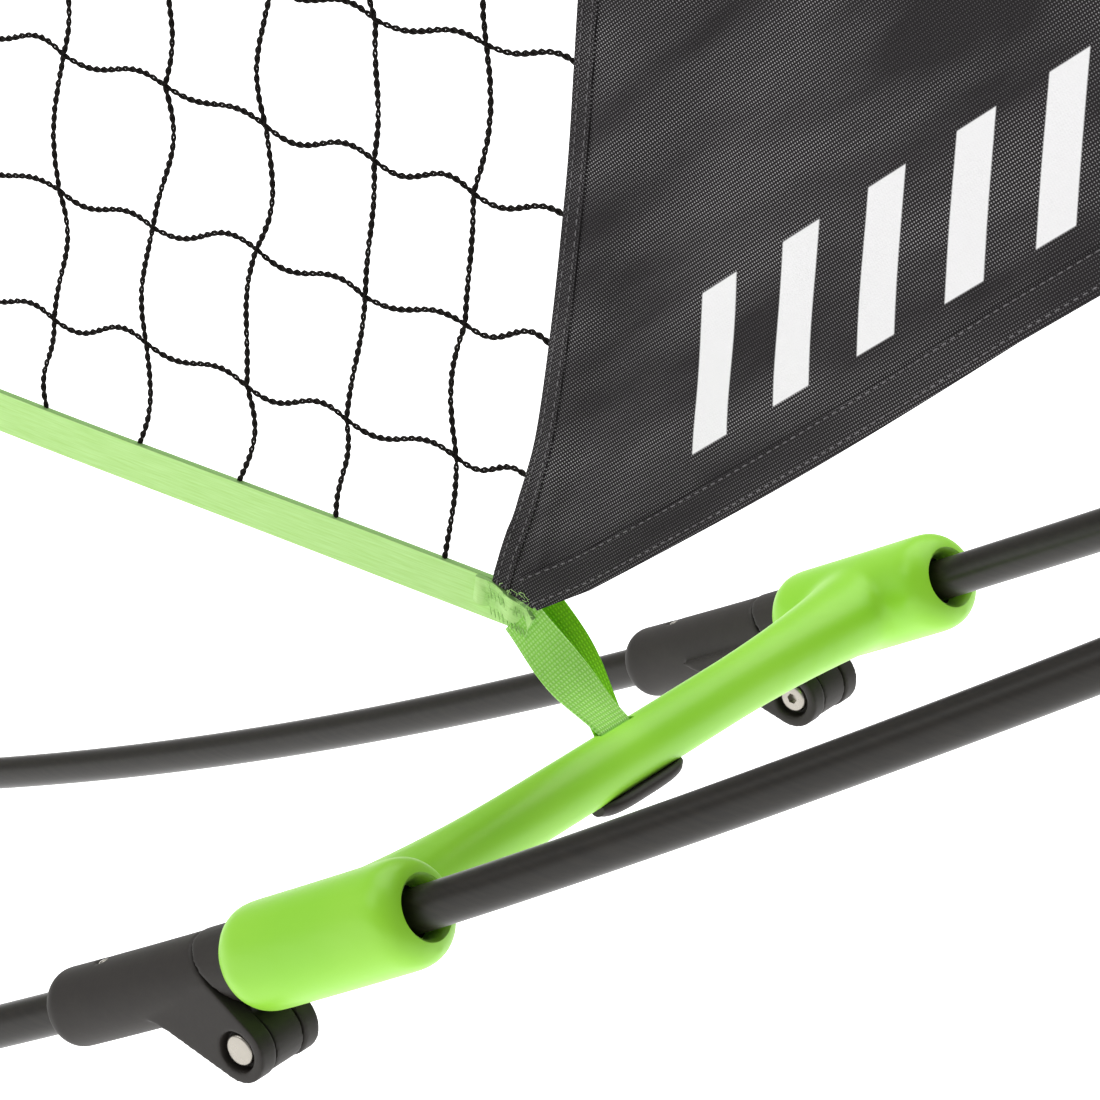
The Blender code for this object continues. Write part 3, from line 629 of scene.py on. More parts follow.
def tongue_body():
    """Inner half of a hinge: sleeve inside the bar's socket, and a lug between the fork's ears."""
    body = rod_sweep(PIN_S - 12 * MM, PIN_S + TONGUE_LENGTH, SOCKET_BORE - GAP)
    body = carved(body, [split_box(1)])
    web = pin_arc(EAR_RADIUS - GAP, 119, 420)
    web += [(4.4 * MM, 7.5 * MM), (4.6 * MM, 13.0 * MM), (3.5 * MM, 13.5 * MM)]
    lug = slab(fold_outline(web), PIN_Y - TONGUE_HALF_WIDTH, PIN_Y + TONGUE_HALF_WIDTH)
    body = carved(body, [lug], "UNION")
    for cut in (rod_sweep(PIN_S + 8.5 * MM, PIN_S + TONGUE_LENGTH + 10 * MM, ROD_RADIUS + GAP),
                cylinder(PIVOT, PIN_RADIUS + GAP, PIN_Y - 10 * MM, PIN_Y + 10 * MM)):
        body = carved(body, [cut])
    return moulded([body], 0.5 * MM, 2)


def turned_across(centre, rims, sides=40):
    """Turned body along Y from (offset, radius) pairs in millimetres."""
    places = [station(centre + Vector((0, y * MM, 0)), Vector((-r, 0, 0)) * MM, Vector((0, 0, r)) * MM)
              for y, r in rims]
    return sweep(round_profile(sides), places)


def nut_body():
    """Sleeve nut with a smooth, slightly crowned head."""
    floor = (HINGE_HALF_WIDTH - RECESS_DEPTH) / MM
    head = floor + 0.3
    crown = [(head + 1.2 + 0.7 * math.sin(a), 3.8 - 0.7 * (1 - math.cos(a)))
             for a in (math.radians(d) for d in (0, 25, 50, 75, 90))]
    dome = [(head + 1.9 + 0.25 * (1 - (r / 3.1) ** 2), r) for r in (2.4, 1.6, 0.8, 0.3)]
    body = turned_across(PIN, [(0.3 - floor, 2.5), (head, 2.5), (head, 3.8)] + crown + dome)
    return carved(body, [cylinder(PIVOT, 1.8 * MM, PIN_Y - 20 * MM, PIN_Y + 3.5 * MM)])


def screw_body():
    """Button-head screw with a hexagon socket."""
    floor = (HINGE_HALF_WIDTH - RECESS_DEPTH) / MM
    head = floor + 0.3
    crown = [(-(head + 1.9 - 1.0 * (1 - math.cos(a))), 2.9 + 0.9 * math.sin(a))
             for a in (math.radians(d) for d in (0, 25, 50, 75, 90))]
    body = turned_across(PIN, [(-(head + 1.9), 1.6)] + crown + [(-head, 3.8), (-head, 1.5), (3.0, 1.5)])
    key = cylinder(PIVOT, 1.44 * MM, PIN_Y - 20 * MM, PIN_Y - (head + 0.7) * MM, 6)
    return carved(body, [key])


def hinges():
    black, steel, fibre = finishes["black nylon"], finishes["steel"], finishes["fibreglass"]
    bodies = {"fork": (fork_body(), black, "base"), "tongue": (tongue_body(), black, "wing"),
              "hinge_nut": (nut_body(), steel, "base"), "hinge_screw": (screw_body(), steel, "base"),
              "base_rod": (rod_sweep(0.5 * MM, PIN_S - 12.5 * MM, ROD_RADIUS), fibre, "base"),
              "wing_rod": (rod_sweep(PIN_S + 9 * MM, ROD_END_S, ROD_RADIUS), fibre, "wing"),
              "rod_rivet": (rod_rivet_body(), steel, "base")}
    for kind, (bm, look, body) in bodies.items():
        for end in (1, -1):
            for side in (1, -1):
                name = f"{ENDS[end]}_{SIDES[side]}_{kind}"
                rides = "base" if body == "base" else f"{ENDS[end]}_wing"
                stands_for = [name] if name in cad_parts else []
                piece(bm, f"{name}_shape", look, rides, *stands_for, end=end, side=side)
        bm.free()


# Cross bars, toggles and shoes ------------------------------------------------------------------

def bar_sweep(s_bar, reach):
    """Oval bar along Y that swells towards its two sockets."""
    middle, along, square = bow_frame(s_bar)
    places = []
    for i in range(-20, 21):
        share = i / 20
        swell = max(0.0, (abs(share) - BAR_SWELL_FROM) / (1 - BAR_SWELL_FROM)) ** BAR_SWELL_POWER
        half_thickness = BAR_HALF_THICKNESS + ROUNDING_LOSS + BAR_SWELL[0] * swell
        half_height = BAR_HALF_HEIGHT + ROUNDING_LOSS + BAR_SWELL[1] * swell
        centre = middle + Vector((0, share * reach, 0))
        places.append(station(centre, along * half_thickness, square * half_height))
    return sweep(round_profile(32), places)


def wing_bar_body():
    """Cross bar of a wing: sockets open to the hinge and to the rod, and a slot for the strap."""
    s_bar = PIN_S + BAR_U
    start, stop = PIN_S + SOCKET_START, PIN_S + SOCKET_END
    socket = turned_rod(rounded(start, stop, SOCKET_RADIUS, 6 * MM))
    bodies = [bar_sweep(s_bar, half_gap(s_bar) - 1.5 * MM), socket, flipped(socket)]
    bm = moulded(bodies, 0.9 * MM, 26)
    end_of_tongue = PIN_S + TONGUE_LENGTH + 1 * MM
    rims = [(start - 5 * MM, SOCKET_BORE), (end_of_tongue, SOCKET_BORE), (end_of_tongue, SOCKET_MOUTH),
            (stop - 2.5 * MM, SOCKET_MOUTH), (stop - 1.2 * MM, SOCKET_MOUTH + 0.4 * MM),
            (stop - 0.2 * MM, SOCKET_MOUTH + 1.4 * MM), (stop + 6 * MM, SOCKET_MOUTH + 7 * MM)]
    bore = turned_rod(rims)
    middle, along, square = bow_frame(s_bar)
    slot = [station(middle + square * rise * MM, along * 2 * MM, Vector((0, 6.3 * MM, 0)))
            for rise in (-12, 12)]
    return carved(bm, [bore, flipped(bore), sweep([(-1, -1), (1, -1), (1, 1), (-1, 1)], slot)])


def flipped(bm):
    """Copy on the near side."""
    own = bm.copy()
    bmesh.ops.transform(own, matrix=Matrix.Diagonal((1, -1, 1, 1)), verts=own.verts)
    bmesh.ops.reverse_faces(own, faces=own.faces)
    return own


def centre_bar_body():
    socket = turned_rod(rounded(-CENTRE_SOCKET_HALF, CENTRE_SOCKET_HALF, SOCKET_RADIUS, 6 * MM))
    bm = moulded([bar_sweep(0, half_gap(0) - 1.5 * MM), socket, flipped(socket)], 0.9 * MM, 26)
    bore = rod_sweep(-CENTRE_SOCKET_HALF - 10 * MM, CENTRE_SOCKET_HALF + 10 * MM, ROD_RADIUS + GAP)
    return carved(bm, [bore, flipped(bore)])


def toggle_body():
    """Lens-shaped button under the bar, flat on top."""
    bar, along, square = bow_frame(PIN_S + BAR_U)
    profile = [(x, min(0.55, y)) for x, y in round_profile(32)]
    places = []
    for i in range(-14, 15):
        share = i / 14
        bulge = max(0.16, 1 - share ** 4) ** 0.5
        middle = bar + Vector((0, share * TOGGLE_HALF_LENGTH, 0))
        middle -= square * (BAR_HALF_HEIGHT + GAP + 1.3 * MM * bulge)
        half_height = 2.3 * MM * (0.35 + 0.65 * bulge)
        places.append(station(middle, along * TOGGLE_HALF_WIDTH * bulge, square * half_height))
    return sweep(profile, places)


def shoe_body():
    """Flat-bottomed shoe with ribbed flanks, which cradles the middle socket and its rods."""
    half, corner = SHOE_LENGTH / 2, 6 * MM
    outline = [(-half, 0), (half, 0), (half, SHOE_HEIGHT - corner), (half - corner, SHOE_HEIGHT),
               (corner - half, SHOE_HEIGHT), (-half, SHOE_HEIGHT - corner)]
    y = half_gap(0)
    body = slab(outline, y - SHOE_WIDTH / 2, y + SHOE_WIDTH / 2)
    bmesh.ops.bevel(body, geom=body.edges, offset=1.2 * MM, offset_type="OFFSET", segments=3,
                    profile=0.5, affect="EDGES", material=-1)
    seat = CENTRE_SOCKET_HALF + GAP
    passage = [(-24 * MM, 9 * MM), (24 * MM, 9 * MM), (24 * MM, 30 * MM), (-24 * MM, 30 * MM)]
    cuts = [rod_sweep(-half - 20 * MM, half + 20 * MM, ROD_RADIUS + GAP),
            rod_sweep(-seat, seat, SOCKET_RADIUS + GAP), slab(passage, y - 30 * MM, y)]
    for cut in cuts:
        body = carved(body, [cut])
    ribs = []
    for i in range(-6, 7):
        middle = i * 15 * MM
        rib = [(middle - 1 * MM, 4 * MM), (middle + 1 * MM, 4 * MM), (middle + 1 * MM, 8 * MM),
               (middle - 1 * MM, 8 * MM)]
        ribs.append(slab(rib, y + SHOE_WIDTH / 2 - 0.8 * MM, y + SHOE_WIDTH / 2 + 5 * MM))
    return carved(body, ribs)


def bars_and_shoes():
    green, black = finishes["green nylon"], finishes["black nylon"]
    wing_bar, toggle = wing_bar_body(), toggle_body()
    for end in (1, -1):
        wing = f"{ENDS[end]}_wing"
        piece(wing_bar, f"{ENDS[end]}_cross_bar_shape", green, wing, f"{ENDS[end]}_cross_bar", end=end)
        piece(toggle, f"{ENDS[end]}_toggle_shape", black, wing, f"{ENDS[end]}_toggle", end=end)
    piece(centre_bar_body(), "centre_bar_shape", green, "base", "centre_bar")
    shoe = shoe_body()
    for side in (1, -1):
        piece(shoe, f"{SIDES[side]}_shoe_shape", finishes["rubber"], "base", f"{SIDES[side]}_shoe", side=side)


# Tips -------------------------------------------------------------------------------------------

def tip_anchor():
    """(x, z) of the rivet that holds the strap in the tip."""
    return bow_point(TIP_RIVET_S)


def tip_body():
    """Moulded nose that holds both rods of a wing, slotted for the strap."""
    places = []
    for s, half_width, half_height in TIP_SECTIONS:
        middle, _, square = bow_frame(s)
        places.append(station(middle, Vector((0, -half_width * MM, 0)), square * half_height * MM))
    body = sweep(round_profile(40), places)
    bore = rod_sweep(TIP_SECTIONS[0][0] - 10 * MM, ROD_END_S + 1.5 * MM, ROD_RADIUS + GAP)
    x, z = tip_anchor()
    slot = slab([(x - 50 * MM, z - 12 * MM), (x + 6 * MM, z - 12 * MM), (x + 6 * MM, z + 30 * MM),
                 (x - 50 * MM, z + 30 * MM)], -1.5 * MM, 1.5 * MM)
    anchor = Vector((x, 0, z))
    for cut in (bore, flipped(bore), slot, cylinder(anchor, 2.3 * MM, -30 * MM, 30 * MM),
                cylinder(anchor, 3.7 * MM, 8.5 * MM, 30 * MM),
                cylinder(anchor, 3.7 * MM, -30 * MM, -8.5 * MM)):
        body = carved(body, [cut])
    return moulded([body], 0.6 * MM, 3)


def tip_rivet_body():
    x, z = tip_anchor()
    rims = [(-10.2, 1.6), (-10.0, 2.6), (-9.4, 3.2), (-8.8, 3.4), (-8.8, 2.0)]
    rims += [(-y, r) for y, r in reversed(rims)]
    return turned_across(Vector((x, 0, z)), rims, 32)


def tips():
    tip, rivet = tip_body(), tip_rivet_body()
    for end in (1, -1):
        wing = f"{ENDS[end]}_wing"
        piece(tip, f"{ENDS[end]}_tip_shape", finishes["black nylon"], wing, f"{ENDS[end]}_tip", end=end)
        piece(rivet, f"{ENDS[end]}_tip_rivet_shape", finishes["steel"], wing, f"{ENDS[end]}_tip_rivet",
              end=end)


# Netting ----------------------------------------------------------------------------------------

def top_edge():
    """Lower edge of the top band, which runs level through the two tips' rivets."""
    return tip_anchor()[1] - TOP_BAND / 2


def corner(dx, dz):
    """(x, z) measured from the rods' axis at the corner of the net, in millimetres."""
    return CORNER.x + dx * MM, CORNER.z + dz * MM


def smooth_line(points, count):
    """Catmull-Rom curve through points, count steps to a span."""
    padded = [2 * points[0] - points[1], *points, 2 * points[-1] - points[-2]]
    line = []
    for a, b, c, d in zip(padded, padded[1:], padded[2:], padded[3:]):
        for i in range(count):
            t = i / count
            line.append(0.5 * (2 * b + (c - a) * t + (2 * a - 5 * b + 4 * c - d) * t * t
                               + (3 * b - a - 3 * c + d) * t ** 3))
    return line + [points[-1]]


def seam_line():
    """The panel's edge against the netting, from the lower corner up."""
    knots = [corner(-73.7, 8.9), corner(-72.0, 16.9), corner(-65.9, 38.0), corner(-61.9, 58.0),
             corner(-57.5, 100.0), corner(-55.0, 155.6), corner(-54.6, 300.0),
             (CORNER.x - 54.6 * MM, top_edge())]
    return smooth_line([Vector((x, 0, z)) for x, z in knots], 12)


SEAM = seam_line()


def seam_x(z):
    """X of the seam at a height."""
    for low, high in zip(SEAM, SEAM[1:]):
        if low.z <= z <= high.z:
            return low.x + (high.x - low.x) * (z - low.z) / max(1e-9, high.z - low.z)
    return SEAM[0].x if z < SEAM[0].z else SEAM[-1].x


def net_knot(i, k):
    """Crossing of column i (0 is the last on the right) and row k (0 is the lowest)."""
    chance = random.Random(i * 97 + k * 13 + 5)
    lean = 9 * MM * (1 - math.exp(-k / 2.5)) * max(-1.0, 1 - i / (NET_COLUMNS / 2))
    x = CORNER.x - 87 * MM - i * NET_PITCH_X + lean + chance.uniform(-1.6, 1.6) * MM
    z = CORNER.z + 36.5 * MM + k * NET_PITCH_Z + chance.uniform(-1.8, 1.8) * MM
    return Vector((x, 0, z))


def cord_span(first, last, bulge, wave, steps=12):
    """Slack cord between two knots, with a bulge to one side and a wave."""
    run = last - first
    aside = Vector((-run.z, 0, run.x)).normalized()
    line = []
    for i in range(steps + 1):
        t = i / steps
        sway = bulge * math.sin(math.pi * t) + wave * math.sin(math.tau * t)
        line.append(first.lerp(last, t) + aside * sway + Vector((0, 0.5 * MM * math.sin(math.pi * t), 0)))
    return line


def net_lines():
    """Every cord of the net as a list of spans: uprights from the bottom band to the top band, and rows."""
    chance = random.Random(11)
    spans = []
    rows = NET_ROWS
    for i in range(NET_COLUMNS):
        foot = net_knot(i, 0)
        foot = Vector((foot.x - 3 * MM, 0, BAND_TOP - 1 * MM))
        head = Vector((net_knot(i, rows - 1).x + 1 * MM, 0, top_edge() + 2 * MM))
        stops = [foot] + [net_knot(i, k) for k in range(rows)] + [head]
        for first, last in zip(stops, stops[1:]):
            slack = 1.0 if (last - first).length > 20 * MM else 0.4
            spans.append(cord_span(first, last, slack * chance.uniform(-3.9, 3.9) * MM,
                                   slack * chance.uniform(-1.2, 1.2) * MM))
    for k in range(rows):
        right = Vector((seam_x(net_knot(0, k).z) + 1.5 * MM, 0, net_knot(0, k).z + 1 * MM))
        left = Vector((-right.x, 0, right.z))
        stops = [right] + [net_knot(i, k) for i in range(NET_COLUMNS)] + [left]
        for first, last in zip(stops, stops[1:]):
            spans.append(cord_span(last, first, chance.uniform(-0.6, 1.0) * MM,
                                   -chance.uniform(1.2, 2.2) * MM))
    return spans


def even_points(line, step):
    """Points a step apart along a line of points."""
    found = []
    left = 0.0
    for a, b in zip(line, line[1:]):
        length = (b - a).length
        while left < length:
            found.append(a.lerp(b, left / length))
            left += step
        left -= length
    return found + [line[-1]]


def chain(line, step, radius, apart):
    """Two strands that cross once in each stitch, along a smooth line."""
    points = even_points(line, step)
    strands = ([], [])
    for index, point in enumerate(points):
        ahead = points[min(index + 1, len(points) - 1)] - points[max(index - 1, 0)]
        aside = Vector((-ahead.z, 0, ahead.x)).normalized()
        phase = math.pi * index * step / STITCH
        tight = min(1.0, min(index, len(points) - 1 - index) * step / (2 * MM)) * 0.5 + 0.5
        for sign, strand in zip((1, -1), strands):
            strand.append(point + aside * (sign * apart * tight * math.sin(phase))
                          + Vector((0, sign * apart * 0.7 * math.cos(phase), 0)))
    return [(strand, radius) for strand in strands]


def tubes(name, strands, look, body, end=1):
    """Mesh of square strands, each a list of points and a radius, mirrored to its own end."""
    data = bpy.data.curves.new(name, "CURVE")
    data.dimensions = "3D"
    data.bevel_depth = 1.0
    data.bevel_resolution = 0
    data.use_fill_caps = True
    for points, radius in strands:
        spline = data.splines.new("POLY")
        spline.points.add(len(points) - 1)
        for spot, point in zip(spline.points, points):
            spot.co = (*point, 1.0)
            spot.radius = radius
    guide = bpy.data.objects.new(name, data)
    bpy.context.scene.collection.objects.link(guide)
    seen = guide.evaluated_get(bpy.context.evaluated_depsgraph_get())
    mesh = bpy.data.meshes.new_from_object(seen)
    bpy.data.objects.remove(guide)
    mesh.name = name
    mesh.shade_smooth()
    if end < 0:
        mesh.transform(Matrix.Diagonal((-1, 1, 1, 1)))
        mesh.flip_normals()
    mesh.materials.append(look)
    made = bpy.data.objects.new(name, mesh)
    bpy.context.scene.collection.objects.link(made)
    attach(made, body)
    return made


def gather_down(made):
    """Gives a piece of the net's upper triangle, or of the top band, a mesh of its own."""
    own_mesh(made)


def below_fold_line(point):
    """True under the line from a lower corner of the net to the middle of its top."""
    share = abs(point.x) / (CORNER.x - 72 * MM)
    return point.z < BAND_TOP + (top_edge() - BAND_TOP) * (1 - share) + 1 * MM


def netting():
    """Knitted cords: drawn stitch by stitch at the right corner, and as twisted cords elsewhere."""
    groups = {}
    for span in net_lines():
        middle = span[len(span) // 2]
        near = middle.x > CORNER.x - 245 * MM and middle.z < CORNER.z + 175 * MM
        half = "lower" if below_fold_line(middle) else "upper"
        groups.setdefault((near, half, 1 if middle.x > 0 else -1), []).append(span)
    made = []
    for (near, half, end), spans in groups.items():
        knit = (0.3 * MM, 0.41 * MM, 0.42 * MM) if near else (1.2 * MM, 0.44 * MM, 0.36 * MM)
        strands = [strand for span in spans for strand in chain(span, *knit)]
        name = f"{ENDS[end]}_{half}_net_{'stitched' if near else 'plain'}_cords"
        made.append(tubes(name, strands, finishes["cord"], "base"))
        if half == "upper":
            gather_down(made[-1])
    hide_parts("netting")


# Cloth ------------------------------------------------------------------------------------------

def hem_place(point):
    """(along, above) of a point, measured from the start of the slanted hem."""
    start = corner(-46.9, 17.5)
    dx, dz = point.x - start[0], point.z - start[1]
    return (dx * math.cos(HEM_SLOPE) + dz * math.sin(HEM_SLOPE),
            dz * math.cos(HEM_SLOPE) - dx * math.sin(HEM_SLOPE))


def cloth_depth(x, z):
    """How far the end panel stands off the net plane: soft folds that fan out from its lower corner."""
    tip = corner(-61.8, 6.9)
    dx, dz = x - tip[0], z - tip[1]
    reach = math.hypot(dx, dz)
    angle = math.atan2(dz, max(1e-6, dx) if dx > 0 else dx)
    pull = 1 - math.exp(-reach / (60 * MM))
    fan = 1.5 * math.sin(angle * 11 + 0.7) + 0.9 * math.sin(angle * 23 + reach * 14 + 1.9)
    soft = (noise.noise(Vector((dx * 9, dz * 9, 3.1))) * 2.4
            + noise.noise(Vector((dx * 38, dz * 38, 8.4))) * 0.35)
    edge = min(1.0, max(0.0, (top_edge() - z) / (60 * MM)))
    above = hem_place(Vector((x, 0, z)))[1]
    taut = 0.25 + 0.75 * min(1.0, max(0.0, above / (45 * MM)))
    over_band = -1.6 * math.exp(-reach / (16 * MM))
    return ((fan * math.exp(-reach / (300 * MM)) + soft * edge) * pull * taut + over_band) * MM


def hem_x(z):
    """X of the panel's slanted lower edge at a height."""
    tip, start = corner(-61.8, 6.9), corner(-46.9, 16.6)
    if z < start[1]:
        return tip[0] + (start[0] - tip[0]) * max(0.0, z - tip[1]) / (start[1] - tip[1])
    return start[0] + (z - start[1]) / math.tan(HEM_SLOPE)


def cloth(across, up, place_point, thickness, lift=0.0):
    """Sheet from a grid laid by a function of two shares, its UV map measured along and above the hem."""
    bm = bmesh.new()
    bmesh.ops.create_grid(bm, x_segments=across, y_segments=up, size=0.5)
    for vert in bm.verts:
        x, z = place_point(vert.co.x + 0.5, vert.co.y + 0.5)
        vert.co = Vector((x, cloth_depth(x, z) + lift, z))
    layer = bm.loops.layers.uv.new("cloth")
    for face in bm.faces:
        for loop in face.loops:
            loop[layer].uv = hem_place(loop.vert.co)
    bmesh.ops.recalc_face_normals(bm, faces=bm.faces)
    bmesh.ops.translate(bm, vec=(0, thickness / 2, 0), verts=bm.verts)
    bmesh.ops.solidify(bm, geom=bm.faces[:], thickness=thickness)
    bmesh.ops.recalc_face_normals(bm, faces=bm.faces)
    middle = sum(v.co.y for v in bm.verts) / len(bm.verts)
    flat = sum(cloth_depth(v.co.x, v.co.z) for v in bm.verts) / len(bm.verts) + lift
    bmesh.ops.translate(bm, vec=(0, flat - middle, 0), verts=bm.verts)
    return bm


def panel_place(share, rise):
    """Point of the panel: share runs from the seam to the hem, rise from the corner to the top."""
    rise = rise ** 1.35
    low, high = corner(0, 8.9)[1], top_edge()
    tip = corner(0, 6.9)[1]
    z_left, z_right = low + (high - low) * rise, tip + (high - tip) * rise
    x_left, x_right = seam_x(z_left), hem_x(z_right)
    return x_left + (x_right - x_left) * share, z_left + (z_right - z_left) * share


def hem_strip_place(share, rise):
    """Point of the doubled cloth along the slanted hem, 8.6 mm wide."""
    start = corner(-46.9, 17.5)
    length = (top_edge() - start[1]) / math.sin(HEM_SLOPE) - 3 * MM
    along = -17 * MM + (length + 17 * MM) * rise
    sag = 1.4 * MM * math.sin(math.pi * min(1.0, max(0.0, along / (140 * MM))))
    above = 8.6 * MM * share - 1.2 * MM - sag + min(0.0, along) * -0.12
    x = start[0] + along * math.cos(HEM_SLOPE) - above * math.sin(HEM_SLOPE)
    z = start[1] + along * math.sin(HEM_SLOPE) + above * math.cos(HEM_SLOPE)
    return x, z


def seam_strip_place(share, rise):
    """Point of the doubled cloth along the seam, 4.8 mm wide."""
    low, high = corner(0, 9.4)[1], top_edge()
    z = low + (high - low) * rise
    return seam_x(z) - 0.5 * MM + 5.3 * MM * share, z


def stitches(lines, length, gap, lift, radius=0.2 * MM):
    """Short threads along lines of points, on both faces of the cloth."""
    strands = []
    for line in lines:
        points = even_points(line, (length + gap) / 2)
        for first, last in list(zip(points, points[1:]))[::2]:
            for face in (1, -1):
                ends = []
                for point, sunk in ((first, 0.35), (first.lerp(last, 0.5), 0.0), (last, 0.35)):
                    y = cloth_depth(point.x, point.z) + face * (lift - sunk * MM * 0.5)
                    ends.append(Vector((point.x, y, point.z)))
                strands.append((ends, radius))
    return strands


def fold_away(made):
    """Gives a piece of the wing's cloth, stitches or top band a mesh of its own."""
    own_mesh(made)


def end_panels():
    panel = cloth(150, 150, panel_place, 0.5 * MM)
    slanted = cloth(6, 260, hem_strip_place, 1.5 * MM)
    upright = cloth(6, 160, seam_strip_place, 1.3 * MM)
    lines = []
    for share in (0.22, 0.94):
        lines.append([Vector((*hem_strip_place(share, i / 200), 0)).xzy for i in range(201)])
    for share in (0.28, 0.80):
        lines.append([Vector((*seam_strip_place(share, i / 200), 0)).xzy for i in range(201)])
    threads = stitches(lines, 2.2 * MM, 0.5 * MM, 0.85 * MM, 0.17 * MM)
    for end in (1, -1):
        wing, name = f"{ENDS[end]}_wing", ENDS[end]
        main = piece(panel, f"{name}_end_panel_cloth", finishes["cloth"], wing, f"{name}_end_panel", end=end)
        hem = piece(slanted, f"{name}_slanted_hem", finishes["hem"], wing, end=end)
        edge = piece(upright, f"{name}_seam_hem", finishes["hem"], wing, end=end)
        sewn = tubes(f"{name}_panel_stitches", threads, finishes["thread"], wing, end)
        for part in (main, hem, edge, sewn):
            fold_away(part)


# Bands and straps -------------------------------------------------------------------------------

def ribbon(places, lengths, half_width):
    """Webbing through stations, its UV map across and along the weave."""
    edge, flat = 0.97, 0.45
    profile = [(-1, -flat), (-edge, -1), (-0.5, -1), (0, -1), (0.5, -1), (edge, -1), (1, -flat)]
    profile += [(-x, -y) for x, y in profile]
    bm = sweep(profile, [Matrix.Translation((0, 0, row)) for row in range(len(places))])
    layer = bm.loops.layers.uv.new("cloth")
    for face in bm.faces:
        for loop in face.loops:
            spot = loop.vert.co
            loop[layer].uv = (spot.x * half_width, lengths[round(spot.z)])
    for vert in bm.verts:
        vert.co = places[round(vert.co.z)] @ Vector((vert.co.x, vert.co.y, 0))
    bmesh.ops.recalc_face_normals(bm, faces=bm.faces)
    return bm


def band_body(low, high, height, half, half_thickness, seed, sway=0.5 * MM):
    """Straight webbing from x = low to high, slightly uneven along its length."""
    count = max(2, int((high - low) / (6 * MM)))
    places, lengths = [], []
    for i in range(count + 1):
        x = low + (high - low) * i / count
        drift = noise.noise(Vector((x * 11, seed, 0))) * sway
        rise = noise.noise(Vector((x * 7, seed, 5))) * sway * 0.6
        tilt = noise.noise(Vector((x * 9, seed, 9))) * 0.06
        up = Vector((0, math.sin(tilt), math.cos(tilt)))
        places.append(station(Vector((x, drift, height + rise)), up * half,
                              Vector((0, math.cos(tilt), -math.sin(tilt))) * half_thickness))
        lengths.append(x - low)
    return ribbon(places, lengths, half)


def bands():
    soft, firm = finishes["band"], finishes["strap"]
    end_x = CORNER.x - 68.5 * MM
    low = band_body(-end_x, end_x, BOTTOM_BAND_CENTRE, WEBBING / 2, 0.8 * MM, 1.0)
    bottom = piece(low, "bottom_band_webbing", soft, "base", "bottom_band")
    height = tip_anchor()[1]
    seam_top = SEAM[-1].x
    for end in (1, -1):
        middle = band_body(0.2 * MM, seam_top - 2.5 * MM, height, TOP_BAND / 2, 1 * MM, 2.0)
        over = piece(middle, f"{ENDS[end]}_middle_top_band", soft, "base", end=end)
        if end > 0:
            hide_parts("top_band")
        gather_down(over)
        stop = hem_x(top_edge())
        wing_part = band_body(seam_top, stop, height, TOP_BAND / 2, 1 * MM, 3.0)
        along = piece(wing_part, f"{ENDS[end]}_top_band_webbing", soft, f"{ENDS[end]}_wing",
                      f"{ENDS[end]}_top_band", end=end)
        fold_away(along)
        x = tip_anchor()[0]
        tail = carved(band_body(stop + GAP, x + 4.5 * MM, height, TIP_STRAP / 2, 1 * MM, 4.0, 0.1 * MM),
                      [cylinder(Vector((x, 0, height)), 2.3 * MM, -10 * MM, 10 * MM)])
        strap = piece(tail, f"{ENDS[end]}_tip_strap_webbing", firm, f"{ENDS[end]}_wing",
                      f"{ENDS[end]}_tip_strap", end=end)


def strap_body(first, entry, foot, turn_from, bow):
    """One layer of the corner strap, turned a quarter on its way into the bar's slot."""
    places, lengths, along = [], [], 0.0
    before = None
    for i in range(41):
        share = i / 40
        point = first.lerp(entry, share)
        point += bow * math.sin(math.pi * share)
        turn = turn_from + (math.pi / 2 - turn_from) * (share * share * (3 - 2 * share))
        run = (entry - first).normalized()
        flat = Vector((0, 1, 0)).cross(run)
        width = flat * math.cos(turn) - Vector((0, 1, 0)) * math.sin(turn)
        along += (point - before).length if before else 0.0
        before = point
        places.append(station(point, width * WEBBING / 2, run.cross(width) * 0.5 * MM))
        lengths.append(along)
    last_width = Vector((0, -1, 0))
    run = (foot - entry).normalized()
    places.append(station(foot, last_width * WEBBING / 2, run.cross(last_width) * 0.5 * MM))
    lengths.append(along + (foot - entry).length)
    return ribbon(places, lengths, WEBBING / 2)


